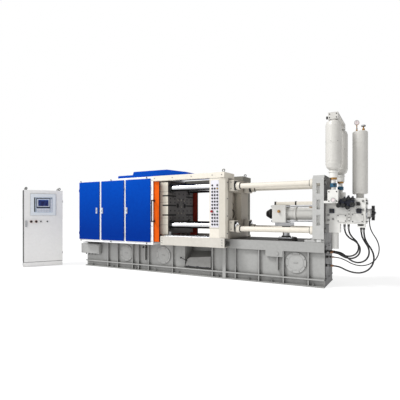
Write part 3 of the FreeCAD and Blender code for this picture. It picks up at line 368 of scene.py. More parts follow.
def plate_pocket_light(graph):
    """Painted light: the pockets in both edges of the injection end plate, painted paler than the plate so that they
    read as lit.
    """
    inside = graph.math("MULTIPLY", graph.along("x", 2.414, 2.4145), graph.along("x", 2.476, 2.4755))
    inside = graph.math("MULTIPLY", inside, graph.along("z", 1.62, 1.615))
    for side in (-1, 1):
        inside = graph.math("MULTIPLY", inside, graph.along("y", side * 0.4385, side * 0.4375))
    return inside


def low_door_shade(graph):
    """Painted shade: the lower part of the guard doors, painted a deeper blue as if less lit."""
    return graph.math("SUBTRACT", 1.0, graph.along("z", 0.75, 1.8))


def die_face_and_shaded_side(graph):
    """Faces that look along X: the moving platen's machined die faces and the slots in them, in their own dark iron,
    and the fixed platen's end faces, darkened as painted shade.
    """
    return graph.math("MAXIMUM", graph.facing("+x"), graph.facing("-x"))


MATERIALS = {
    # Painted shade: the bed's top and its injection end face are darkened as if in shadow.
    "bed": paint("bed_paint", linear(163, 163, 161), 0.42, corner_shade_and_dust=0.7,
                 zones=[(linear(58, 57, 57), bed_top_and_end_shade)]),
    "cover": paint("cover_paint", linear(172, 172, 170), 0.42, corner_shade_and_dust=0.6),
    "chute": paint("chute_grey", linear(140, 139, 137), 0.45, corner_shade_and_dust=0.7, wear=0.6,
                   zones=[(linear(34, 33, 33), lever_part)]),
    "white": paint("guard_white", linear(248, 248, 248), 0.35, corner_shade_and_dust=0.4, wear=0.15),
    # Painted shade: the guard blue deepens towards the bottom.
    "blue": paint("guard_blue", linear(0, 72, 178), 0.5, corner_shade_and_dust=0.2, wear=0.1, peel=0.15, gloss=0.03,
                  zones=[(linear(0, 48, 140), low_door_shade)]),
    "orange": paint("safety_orange", linear(224, 92, 6), 0.45, corner_shade_and_dust=0.3, gloss=0.1),
    "red_brown": paint("rear_door_red", linear(150, 44, 26), 0.42, corner_shade_and_dust=0.5),
    "cream": paint("machine_cream", linear(228, 222, 210), 0.4, corner_shade_and_dust=0.65),
    "apron": paint("apron_grey", linear(204, 200, 192), 0.42, corner_shade_and_dust=0.6),
    "grey": paint("injection_grey", linear(226, 225, 221), 0.4, corner_shade_and_dust=0.45, wear=0.2),
    # Painted shade: the rear portal is painted dark grey to stand in for the shadow it lies in.
    "shade": paint("rear_portal_painted_shade", linear(122, 120, 111), 0.45, corner_shade_and_dust=0.8),
    "hole": cast_iron("hole_shadow", linear(26, 25, 25), 0.7),
    "latch": plastic("latch_grey", linear(206, 214, 226), 0.35, 0.1),
    "platen": paint("platen_cream", linear(228, 222, 208), 0.4, corner_shade_and_dust=0.35,
                    zones=[(linear(84, 80, 79), die_face_and_shaded_side)]),
    # Painted shade: the fixed platen's end faces are darkened to taupe.
    "fixed": paint("fixed_platen_cream", linear(212, 205, 192), 0.4, corner_shade_and_dust=0.9,
                   zones=[(linear(166, 158, 146), die_face_and_shaded_side)]),
    # Painted shade: the end plate's far face is darkened as if in shadow.
    "end_plate": paint("end_plate_grey", linear(186, 186, 184), 0.4, corner_shade_and_dust=0.2, wear=0.2,
                       # Painted light: the pockets are painted paler so that they read as lit.
                       zones=[(linear(72, 71, 69), end_plate_far_shade), (linear(252, 252, 250), plate_pocket_light)]),
    "plate": paint("panel_lilac", linear(224, 222, 229), 0.3, corner_shade_and_dust=0.3, peel=0.1),
    "bottle": paint("bottle_cream", linear(208, 206, 201), 0.28, wear=0.1, corner_shade_and_dust=0.3),
    # Painted shade: the cabinet's far side panel is darkened as if in shadow.
    "cabinet": paint("cabinet_grey", linear(238, 237, 235), 0.5, peel=0.5, wear=0.12, corner_shade_and_dust=0.3,
                     zones=[(linear(104, 104, 105), cabinet_side_shade)]),
    "window": paint("window_frame", linear(226, 231, 236), 0.4, peel=0.2, wear=0.1, corner_shade_and_dust=0.3),
    "bezel": plastic("screen_bezel_grey", linear(176, 188, 202), 0.4),
    "controls": paint("control_black", linear(24, 24, 25), 0.4, peel=0.1, wear=0.1, corner_shade_and_dust=0.2,
                      zones=[(linear(176, 177, 178), handle_part)]),
    "ring_red": plastic("ring_warm", linear(206, 150, 132), 0.35, 0.05),
    "iron": cast_iron("platen_iron", linear(92, 88, 88)),
    "black_iron": cast_iron("blackened_iron", linear(44, 43, 43), 0.42),
    "chrome": chrome("bar_chrome"),
    "steel": steel("turned_steel", linear(196, 197, 200)),
    "bright": steel("sheet_steel", linear(150, 151, 153), 0.3, stretch=(20, 1, 1), metallic=0.85),
    "dark_steel": steel("oiled_steel", linear(70, 70, 72), 0.4),
    "zinc": steel("zinc_bolts", linear(150, 150, 148), 0.38, stretch=(1, 1, 1)),
    "black": plastic("black_plastic", linear(24, 24, 25)),
    "navy": plastic("solenoid_navy", linear(26, 32, 56), 0.35),
    "red": plastic("stop_red", linear(150, 8, 24), 0.28, 0.05),
    "green": plastic("start_green", linear(22, 128, 70), 0.3, 0.05),
    "yellow": plastic("ring_yellow", linear(226, 178, 20), 0.35, 0.05),
    "teal": plastic("fitting_teal", linear(30, 84, 112), 0.4, 0.1),
    "grey_plastic": plastic("grey_plastic", linear(158, 164, 172), 0.45),
    "dial": plastic("dial_enamel", linear(226, 214, 214), 0.25, 0.02),
    "glass": screen_glass("display_glass"),
    "rubber": hose_rubber("hose_rubber"),
    "brass": steel("brass_fitting", linear(196, 150, 92), 0.3),
    "copper": steel("hose_ferrule", linear(146, 106, 78), 0.36),
}

NODE_FINISH = {
    "bed_frame": "bed", "bed_covers": "cover", "casting_chute": "chute", "terminal_box": "cover",
    "guard_frame_front": "white", "guard_frame_rear": "white", "guard_cross_frame": "white",
    "guard_door_1": "blue", "guard_door_2": "blue", "guard_door_3": "blue", "guard_panels": "blue",
    "roof_cover": "blue", "safety_door_front": "orange", "safety_door_rear": "red_brown",
    "safety_door_grip_front": "black", "moving_platen": "platen", "fixed_platen": "fixed",
    "tie_bars": "chrome", "aprons": "apron",
    "clamp_ram": "chrome", "tie_bar_nuts": "cream", "shot_end_plate": "end_plate", "shot_cylinder": "grey",
    "shot_head": "grey", "valve_manifold": "grey", "bottle_seats": "grey", "return_column": "grey",
    "accumulator_bridge": "bottle", "rear_portal": "shade", "gas_bottle_seat": "bottle", "shot_plunger": "black_iron",
    "height_jack": "steel", "drip_tray": "bright", "lifting_eyes": "zinc", "stroke_rail": "cream",
    "throttle_wheel": "black", "gas_handwheel": "black", "cartridge_valves": "navy",
    "push_buttons": "black", "emergency_stop": "red", "hose_fittings": "zinc", "gas_valve": "brass",
    "cabinet_body": "cabinet", "cabinet_door": "cabinet", "operator_screen": "window",
    "cabinet_controls": "controls", "accumulator_front": "bottle", "accumulator_rear": "bottle",
    "gas_bottle": "bottle",
}
ROUND_EDGES = {
    "bed_frame": 0.003, "terminal_box": 0.003, "guard_frame_front": 0.003, "guard_frame_rear": 0.003,
    "guard_door_1": 0.002, "guard_door_2": 0.002, "guard_door_3": 0.002, "safety_door_front": 0.002,
    "top_beam_front": 0.003, "panel_post": 0.003, "rear_portal": 0.003, "tail_platen": 0.004,
    "tie_bar_nuts": 0.004, "shot_head": 0.004, "valve_manifold": 0.003, "accumulator_bridge": 0.003,
    "cabinet_door": 0.003, "operator_screen": 0.004, "guard_panels": 0.002, "roof_cover": 0.003,
    "cartridge_valves": 0.003, "stroke_rail": 0.003,
}


def finish_nodes():
    """Gives every carried-over node its material, and softens the edges of the plain ones."""
    for name, node in NODES.items():
        finish = "rubber" if name.startswith("hose_") and name != "hose_fittings" else NODE_FINISH.get(name, "cream")
        node.data.materials.clear()
        node.data.materials.append(MATERIALS[finish])
        if name in ROUND_EDGES:
            weld = node.modifiers.new("Weld", "WELD")
            weld.merge_threshold = 0.00002
            soft = node.modifiers.new("Soft edges", "BEVEL")
            soft.width = ROUND_EDGES[name]
            soft.segments = 2
            soft.limit_method = "ANGLE"
            soft.angle_limit = math.radians(50)
            soft.use_clamp_overlap = True


# ---------------------------------------------------------------------------------------------
# Hoses
# ---------------------------------------------------------------------------------------------
HOSES = {
    "hose_1": (0.024, [
        (2.800, -0.250, 0.945), (2.800, -0.250, 0.859), (2.868, -0.259, 0.769), (2.970, -0.268, 0.721),
        (3.028, -0.278, 0.625), (3.002, -0.285, 0.515), (2.904, -0.289, 0.459), (2.794, -0.290, 0.481),
        (2.700, -0.290, 0.545), (2.600, -0.290, 0.545)]),
    "hose_2": (0.024, [
        (2.850, -0.180, 0.945), (2.850, -0.180, 0.865), (2.899, -0.186, 0.781), (2.972, -0.192, 0.715),
        (3.000, -0.199, 0.622), (2.964, -0.204, 0.531), (2.878, -0.207, 0.485), (2.781, -0.209, 0.497),
        (2.695, -0.210, 0.545), (2.600, -0.210, 0.545)]),
    "hose_3": (0.024, [
        (3.030, -0.230, 0.905), (3.030, -0.230, 0.820), (3.077, -0.240, 0.724), (3.135, -0.249, 0.634),
        (3.142, -0.252, 0.527), (3.087, -0.245, 0.435), (2.987, -0.225, 0.396), (2.883, -0.195, 0.421),
        (2.803, -0.164, 0.492), (2.710, -0.130, 0.545), (2.600, -0.130, 0.545)]),
    "hose_4": (0.024, [
        (3.070, -0.265, 0.905), (3.070, -0.265, 0.810), (3.111, -0.275, 0.706), (3.176, -0.285, 0.616),
        (3.210, -0.295, 0.510), (3.195, -0.300, 0.399), (3.131, -0.298, 0.308), (3.032, -0.290, 0.258),
        (2.920, -0.278, 0.256), (2.818, -0.264, 0.284), (2.712, -0.250, 0.335), (2.600, -0.250, 0.335)]),
    "hose_5": (0.016, [
        (3.140, -0.200, 1.066), (3.140, -0.200, 0.961), (3.178, -0.209, 0.855), (3.240, -0.219, 0.761),
        (3.274, -0.228, 0.654), (3.266, -0.233, 0.542), (3.213, -0.232, 0.443), (3.122, -0.224, 0.376),
        (3.012, -0.212, 0.353), (2.901, -0.197, 0.373), (2.802, -0.182, 0.426), (2.695, -0.170, 0.460),
        (2.600, -0.170, 0.460)]),
}


def make_hoses():
    for name, (diameter, points) in HOSES.items():
        curve = bpy.data.curves.new(name + "_line", "CURVE")
        curve.dimensions = "3D"
        curve.bevel_depth = diameter / 2
        curve.bevel_resolution = 5
        curve.resolution_u = 8
        spline = curve.splines.new("NURBS")
        spline.points.add(len(points) - 1)
        for spot, point in zip(spline.points, points):
            spot.co = (*point, 1.0)
        spline.order_u = 3
        spline.use_endpoint_u = True
        hose = bpy.data.objects.new(name + "_line", curve)
        bpy.context.scene.collection.objects.link(hose)
        curve.materials.append(MATERIALS["rubber"])
        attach(hose, BODY)
        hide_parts(name)


# ---------------------------------------------------------------------------------------------
# Fittings: each is one mesh of several turned and cut shapes
# ---------------------------------------------------------------------------------------------
class Fitting:
    """Collects shapes, in machine metres or in a frame of their own, and makes one piece of them."""

    def __init__(self, name, finish, body=BODY, frame=None):
        self.name, self.finish, self.body = name, finish, body
        self.frame = frame or Matrix()
        self.mesh = bmesh.new()

    def block(self, x, y, z, tilt=None):
        """A box between (low, high) pairs, turned by tilt about its middle when one is given."""
        size = Matrix.Diagonal((x[1] - x[0], y[1] - y[0], z[1] - z[0], 1))
        middle = Matrix.Translation(((x[0] + x[1]) / 2, (y[0] + y[1]) / 2, (z[0] + z[1]) / 2))
        bmesh.ops.create_cube(self.mesh, size=1, matrix=middle @ (tilt or Matrix()) @ size)
        return self

    def turned(self, axis, centre, outline, sides=28, phase=0.0):
        """A closed solid of revolution: outline is (radius, place along the axis) pairs."""
        rings = []
        for radius, along in outline:
            ring = []
            for step in range(sides):
                angle = 2 * math.pi * step / sides + phase
                across, up = radius * math.cos(angle), radius * math.sin(angle)
                spot = {"x": (along, centre[0] + across, centre[1] + up),
                        "y": (centre[0] + across, along, centre[1] + up),
                        "z": (centre[0] + across, centre[1] + up, along)}[axis]
                ring.append(self.mesh.verts.new(spot))
            rings.append(ring)
        for low, high in zip(rings, rings[1:]):
            for step in range(sides):
                following = (step + 1) % sides
                self.mesh.faces.new((low[step], low[following], high[following], high[step]))
        self.mesh.faces.new(rings[0])
        self.mesh.faces.new(rings[-1])
        return self

    def rod(self, axis, centre, radius, ends, chamfer=0.0015, sides=28):
        low, high = sorted(ends)
        chamfer = min(chamfer, (high - low) / 3, radius / 3)
        return self.turned(axis, centre, ((radius - chamfer, low), (radius, low + chamfer),
                                          (radius, high - chamfer), (radius - chamfer, high)), sides)

    def sleeve(self, axis, centre, radii, ends, sides=36):
        """A ring with a hole: radii are (inner, outer)."""
        low, high = sorted(ends)
        inner, outer = radii
        edge = min(0.0015, (outer - inner) / 3, (high - low) / 3)
        outline = ((inner, low), (outer - edge, low), (outer, low + edge), (outer, high - edge),
                   (outer - edge, high), (inner, high))
        start = len(self.mesh.verts)
        self.turned(axis, centre, outline, sides)
        self.mesh.faces.ensure_lookup_table()
        caps = [face for face in self.mesh.faces[-2:]]
        bmesh.ops.delete(self.mesh, geom=caps, context="FACES_ONLY")
        self.mesh.verts.ensure_lookup_table()
        rim = [self.mesh.verts[start + step] for step in range(sides)]
        top = [self.mesh.verts[start + (len(outline) - 1) * sides + step] for step in range(sides)]
        for step in range(sides):
            following = (step + 1) % sides
            self.mesh.faces.new((rim[following], rim[step], top[step], top[following]))
        return self

    def bolt(self, axis, centre, face, out, size=0.012):
        """A socket-head screw on its washer: face is the surface it stands on, out is +1 or -1."""
        self.rod(axis, centre, size * 1.05, (face, face + out * size * 0.18), 0.0005, 20)
        stand, head = face + out * size * 0.16, face + out * size * 0.95
        self.turned(axis, centre, ((size * 0.78, stand), (size * 0.78, head - out * size * 0.12),
                                   (size * 0.66, head), (size * 0.4, head),
                                   (size * 0.36, head - out * size * 0.45)), 18)
        return self

    def hexagon(self, axis, centre, radius, ends):
        low, high = sorted(ends)
        lip = (high - low) * 0.12
        return self.turned(axis, centre, ((radius * 0.88, low), (radius, low + lip),
                                          (radius, high - lip), (radius * 0.88, high)), 6, math.pi / 6)

    def done(self, bevel=0.0012, smooth=34):
        bmesh.ops.recalc_face_normals(self.mesh, faces=self.mesh.faces)
        bmesh.ops.transform(self.mesh, matrix=self.frame, verts=self.mesh.verts)
        data = bpy.data.meshes.new(self.name)
        self.mesh.to_mesh(data)
        self.mesh.free()
        data.polygons.foreach_set("use_smooth", [True] * len(data.polygons))
        data.set_sharp_from_angle(angle=math.radians(smooth))
        data.materials.append(MATERIALS[self.finish])
        piece = bpy.data.objects.new(self.name, data)
        bpy.context.scene.collection.objects.link(piece)
        if bevel:
            soft = piece.modifiers.new("Edges", "BEVEL")
            soft.width = bevel
            soft.segments = 2
            soft.limit_method = "ANGLE"
            soft.angle_limit = math.radians(60)
        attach(piece, self.body)
        return piece


FRONT = -0.597
DOOR_FRONT = -0.6173
PANEL = -0.620
SHOT = 1.14
BARS = [(side * 0.35, 1.28 + up * 0.35) for side in (-1, 1) for up in (-1, 1)]
SHOT_BAR_PLACES = [(side * 0.365, up) for side in (-1, 1) for up in (0.88, 1.62)]


def make_guard_fittings():
    for number, edge in (("1", -1.998), ("2", -1.844), ("3", -1.190)):
        middle = edge + 0.015
        body = "guard_door_" + number
        Fitting(f"latch_plate_{number}", "latch", body).block(
            (edge - 0.001, edge + 0.031), (-0.6352, -0.6160), (1.145, 1.265)).done(0.0008)
        latch = Fitting(f"latch_pull_{number}", "black", body)
        latch.block((middle - 0.005, middle + 0.005), (-0.6385, -0.6345), (1.176, 1.222))
        latch.rod("y", (middle, 1.243), 0.006, (-0.6395, -0.6345))
        latch.rod("y", (middle, 1.157), 0.0035, (-0.6370, -0.6345))
        latch.done()
    bolts = Fitting("guard_bolts", "black_iron")
    for along in (-2.47, -1.61, -0.70):
        for up in (1.832, 0.575):
            bolts.bolt("y", (along, up), FRONT, -1, 0.013)
            bolts.bolt("y", (along, up), -FRONT, 1, 0.013)
    for up in (0.62, 0.9, 1.2, 1.5, 1.78):
        bolts.bolt("y", (-0.575, up), FRONT, -1, 0.008)
    bolts.done()
    panels = Fitting("rear_panel_screws", "zinc")
    for low, high in ((-2.5, -1.923), (-1.864, -1.261), (-1.21, -0.607)):
        for along in (low + 0.03, (low + high) / 2, high - 0.03):
            for up in (0.63, 1.205, 1.78):
                panels.bolt("y", (along, up), 0.609, 1, 0.007)
    for across in (-0.5, 0.0, 0.5):
        for up in (0.78, 1.28, 1.77):
            panels.bolt("x", (across, up), -2.5, -1, 0.007)
    panels.done()
    seams = Fitting("roof_seams", "blue")
    for along in (-1.34, -0.78, -0.2):
        low = 1.925 if along < -1.2 else (1.99 if along < -0.363 else 1.955)
        seams.block((along - 0.006, along + 0.006), (-0.405, 0.405), (low - 0.002, low + 0.004))
    seams.block((-1.59, 0.12), (-0.4245, -0.419), (1.8505, 1.862))
    seams.block((-1.59, 0.12), (0.419, 0.4245), (1.8505, 1.862))
    seams.done()
    pins = Fitting("door_hinge_pins", "zinc")
    for along in (-2.5, -1.261, -0.607):
        for up in (0.71, 1.61):
            pins.rod("z", (along, DOOR_FRONT), 0.0045, (up + 0.044, up + 0.052), 0.001, 16)
    pins.done(0)
    strip = Fitting("guard_shadow_strip", "black_iron")
    strip.block((-2.43, -1.95), (-0.5765, -0.44), (0.526, 0.536))
    for along in (-2.4, -2.2, -2.0):
        strip.bolt("y", (along, 0.531), -0.5765, -1, 0.004)
    strip.done()
    door = Fitting("safety_door_trim", "black_iron", "safety_door_front")
    door.block((-0.4325, -0.4285), (-0.570, -0.547), (0.62, 1.748))
    for up in (1.0, 1.386):
        door.sleeve("y", (-0.535, up), (0.0112, 0.019), (-0.577, -0.571), 24)
    door.done()
    rear = Fitting("rear_door_trim", "black_iron", "safety_door_rear")
    rear.block((-0.2305, -0.2265), (0.547, 0.570), (0.62, 1.748))
    rear.done()


def make_panel():
    plate = Fitting("button_plate", "plate")
    plate.block((0.690, 0.849), (PANEL - 0.0022, PANEL + 0.0005), (0.905, 1.715))
    plate.done(0.0008)
    screws = Fitting("button_plate_screws", "zinc")
    for along in (0.697, 0.842):
        for up in (0.915, 1.31, 1.705):
            screws.bolt("y", (along, up), PANEL - 0.0022, -1, 0.004)
    screws.done(0)
    bezels = Fitting("button_bezels", "black")
    caps = {"black": Fitting("button_caps_black", "black"), "green": Fitting("button_caps_green", "green"),
            "yellow": Fitting("button_caps_yellow", "yellow")}
    for line in range(13):
        for column in range(3):
            along, up = 0.723 + 0.048 * column, 0.956 + 0.056 * line
            if line == 4 and column < 2 or line == 12 and column == 1:
                continue
            bezels.sleeve("y", (along, up), (0.0132, 0.0172), (PANEL - 0.0022, PANEL - 0.006), 24)
            tone = "black"
            if (line, column) == (4, 2):
                tone = "green"
            elif (line, column) == (11, 2):
                tone = "yellow"
            caps[tone].turned("y", (along, up), ((0.0105, PANEL - 0.0118), (0.0105, PANEL - 0.0135),
                                                 (0.008, PANEL - 0.0148), (0.003, PANEL - 0.0152)), 24)
    bezels.done(0)
    for cap in caps.values():
        cap.done(0)
    ring = Fitting("stop_collar", "zinc")
    ring.sleeve("y", (0.723, 1.18), (0.0095, 0.0235), (PANEL - 0.0022, PANEL - 0.0048), 32)
    ring.done(0)
    seam = Fitting("panel_seams", "black_iron")
    seam.block((0.670, 0.851), (PANEL - 0.0008, PANEL + 0.001), (1.744, 1.7485))
    seam.block((0.670, 0.851), (PANEL - 0.0008, PANEL + 0.001), (0.8885, 0.892))
    seam.done(0)
    bolts = Fitting("portal_bolts", "zinc")
    for up in (0.60, 0.645, 0.69):
        bolts.bolt("y", (0.905, up), PANEL, -1, 0.009)
        bolts.bolt("y", (0.905, up), -PANEL, 1, 0.009)
        bolts.bolt("y", (-0.33, up), PANEL, -1, 0.008)
    for up in (0.80, 1.1, 1.4, 1.68):
        bolts.bolt("x", (-0.50, up), 0.951, 1, 0.011)
        bolts.bolt("x", (0.50, up), 0.951, 1, 0.011)
    for along in (-0.5, -0.1, 0.3, 0.72, 0.9):
        bolts.bolt("y", (along, 1.805), PANEL, -1, 0.009)
        bolts.bolt("y", (along, 1.805), -PANEL, 1, 0.009)
    bolts.done(0)


def make_platen_fittings():
    wipers = Fitting("moving_bar_wipers", "black", "moving_platen")
    guides = Fitting("fixed_bar_rings", "black")
    for place in BARS:
        wipers.sleeve("x", place, (0.0606, 0.096), (-0.295, -0.268))
        wipers.sleeve("x", place, (0.0606, 0.082), (-0.475, -0.489))
        guides.sleeve("x", place, (0.0602, 0.080), (0.700, 0.686))
    wipers.done()
    guides.done()
    caps = Fitting("nut_faces", "black_iron")
    screws = Fitting("nut_screws", "zinc")
    for side, up in BARS:
        for face, out in ((1.046, 1), (-2.395, -1)):
            caps.sleeve("x", (side, up), (0.0602, 0.082), (face, face + out * 0.010))
            for across in (-0.072, 0.072):
                for over in (-0.072, 0.072):
                    screws.bolt("x", (side + across, up + over), face, out, 0.010)
        for over in (-0.055, 0.055):
            out = -1 if side < 0 else 1
            screws.bolt("y", (0.9985, up + over), side + out * 0.095, out, 0.009)
        screws.rod("x", (side, up), 0.030, (1.0755, 1.079), 0.001)
    caps.done()
    screws.done(0)
    seams = Fitting("platen_seams", "black_iron", "moving_platen")
    for up in (1.06, 1.36, 1.56, 0.93):
        seams.block((-0.473, -0.297), (-0.4708, -0.4696), (up - 0.002, up + 0.002))
        seams.block((-0.473, -0.297), (0.4696, 0.4708), (up - 0.002, up + 0.002))
    seams.done(0)
    holes = Fitting("platen_face_holes", "hole", "moving_platen")
    for across in (-0.38, -0.23, -0.08, 0.08, 0.23, 0.38):
        for up in (0.99, 1.06, 1.20, 1.36, 1.43, 1.53):
            if abs(across) > 0.3 and (up < 1.03 or up > 1.5):
                continue
            holes.rod("x", (across, up), 0.016, (-0.2965, -0.2940), 0.0003, 20)
    for across in (-0.13, 0.13):
        holes.rod("x", (across, 1.30), 0.046, (-0.2965, -0.2935), 0.0005, 36)
    for up in (1.117, 1.301, 1.484):
        for low, high in ((-0.4715, -0.19), (0.19, 0.4715)):
            holes.block((-0.2965, -0.2932), (low, high), (up - 0.014, up + 0.014))
        for side in (-1, 1):
            holes.block((-0.42, -0.294), (side * 0.4705 - 0.0012, side * 0.4705 + 0.0012), (up - 0.012, up + 0.012))
    for side, up in ((-0.3, 1.5), (0.3, 1.5), (-0.3, 1.06), (0.3, 1.06)):
        holes.block((-0.2965, -0.2932), (side - 0.008, side + 0.008), (up - 0.05, up + 0.05))
    holes.done(0)
    rims = Fitting("platen_hole_rims", "iron", "moving_platen")
    for across in (-0.13, 0.13):
        rims.sleeve("x", (across, 1.30), (0.046, 0.058), (-0.2955, -0.2915), 36)
    rims.done(0)
    flange = Fitting("sleeve_flange", "black_iron")
    flange.sleeve("x", (0, 1.14), (0.0552, 0.080), (0.826, 0.834))
    flange.sleeve("x", (0, 1.28), (0.0552, 0.066), (0.826, 0.831))
    for angle in range(6):
        turn = math.radians(60 * angle + 10)
        flange.bolt("x", (-0.165 + 0.055 * math.cos(turn), 1.14 + 0.055 * math.sin(turn)), 0.826, 1, 0.008)
    flange.done(0)
    die_bolts = Fitting("fixed_face_bolts", "zinc")
    for across in (-0.24, 0.24):
        for up in (0.84, 0.95, 1.6, 1.7):
            die_bolts.bolt("x", (across, up), 0.951, 1, 0.012)
    die_bolts.done(0)


def make_bed_fittings():
    screws = Fitting("cover_screws", "zinc")
    for along, up in ((-1.402, 0.33), (-0.475, 0.335), (2.086, 0.36)):
        for step in range(8):
            turn = math.radians(45 * step + 22.5)
            spot = (along + 0.148 * math.cos(turn), up + 0.148 * math.sin(turn))
            screws.bolt("y", spot, -0.369, -1, 0.0075)
            screws.bolt("y", spot, 0.369, 1, 0.0075)
    screws.done(0)
    rims = Fitting("cover_rims", "cover")
    for along, up in ((-1.402, 0.33), (-0.475, 0.335), (2.086, 0.36)):
        rims.sleeve("y", (along, up), (0.118, 0.128), (-0.3685, -0.3725), 48)
        rims.sleeve("y", (along, up), (0.118, 0.128), (0.3685, 0.3725), 48)
        rims.block((along - 0.035, along + 0.035), (-0.377, -0.3685), (up - 0.006, up + 0.006))
        rims.block((along - 0.035, along + 0.035), (0.3685, 0.377), (up - 0.006, up + 0.006))
    rims.done()
    feet = Fitting("levelling_screws", "zinc")
    for along in (-2.35, -1.75, -1.14, -0.65, -0.12, 0.72, 1.30, 1.70, 2.36):
        for side in (-0.385, 0.385):
            feet.hexagon("z", (along, side), 0.017, (0.020, 0.036))
            feet.rod("z", (along, side), 0.009, (0.030, 0.062), 0.001, 16)
    feet.done(0)
    # The end plate's blackened iron also stands in as painted shade for the shaded injection end of the bed.
    end = Fitting("bed_end_plate", "black_iron")
    end.block((2.5295, 2.535), (-0.33, 0.33), (0.10, 0.66))
    for across in (-0.30, 0.0, 0.30):
        for up in (0.13, 0.63):
            end.bolt("x", (across, up), 2.535, 1, 0.009)
    for side, up in ((-0.29, 0.545), (-0.21, 0.545), (-0.13, 0.545), (-0.25, 0.335), (-0.17, 0.46)):
        end.hexagon("x", (side, up), 0.023, (2.535, 2.549))
    end.done()
    left = Fitting("bed_left_plate", "cover")
    left.block((-2.534, -2.5295), (-0.28, 0.28), (0.18, 0.56))
    for across in (-0.25, 0.25):
        for up in (0.21, 0.53):
            left.bolt("x", (across, up), -2.534, -1, 0.009)
    left.done()
    lid = Fitting("terminal_lid", "cover")
    lid.block((-2.618, -2.112), (-0.4435, -0.4395), (0.292, 0.478))
    lid.done()
    glands = Fitting("terminal_glands", "black")
    for along in (-2.52, -2.43, -2.34, -2.25):
        glands.hexagon("z", (along, -0.398), 0.015, (0.268, 0.2805))
        glands.rod("z", (along, -0.398), 0.0105, (0.252, 0.270))
    for along in (-2.60, -2.13):
        for up in (0.305, 0.465):
            glands.bolt("y", (along, up), -0.4435, -1, 0.005)
    glands.done(0)
    unions = Fitting("bed_unions", "black")
    for along in (-0.96, -0.90):
        unions.hexagon("y", (along, 0.47), 0.018, (-0.3545, -0.372))
        unions.rod("y", (along, 0.47), 0.012, (-0.370, -0.392))
    unions.done(0)
    chute = Fitting("chute_hinge", "dark_steel")
    chute.rod("x", (-0.376, 0.165), 0.010, (0.035, 0.565))
    for along in (0.10, 0.30, 0.50):
        chute.sleeve("x", (-0.376, 0.165), (0.0102, 0.016), (along - 0.025, along + 0.025), 24)
    chute.done(0)
    apron = Fitting("apron_stiffener", "apron")
    apron.block((-0.355, 0.66), (-0.6225, -0.619), (0.562, 0.570))
    apron.block((-0.355, 0.66), (0.619, 0.6225), (0.562, 0.570))
    apron.done()
    clips = Fitting("trough_clips", "zinc")
    for along in (-0.30, 0.0, 0.3, 0.6):
        clips.block((along - 0.012, along + 0.012), (-0.4715, -0.4645), (0.7455, 0.7485))
        clips.bolt("z", (along, -0.468), 0.7485, 1, 0.004)
    clips.done(0)
    wings = Fitting("ejector_bracket", "bright")
    wings.block((-0.30, -0.24), (-0.455, -0.43), (0.746, 0.80))
    wings.bolt("y", (-0.27, 0.775), -0.455, -1, 0.007)
    wings.done()


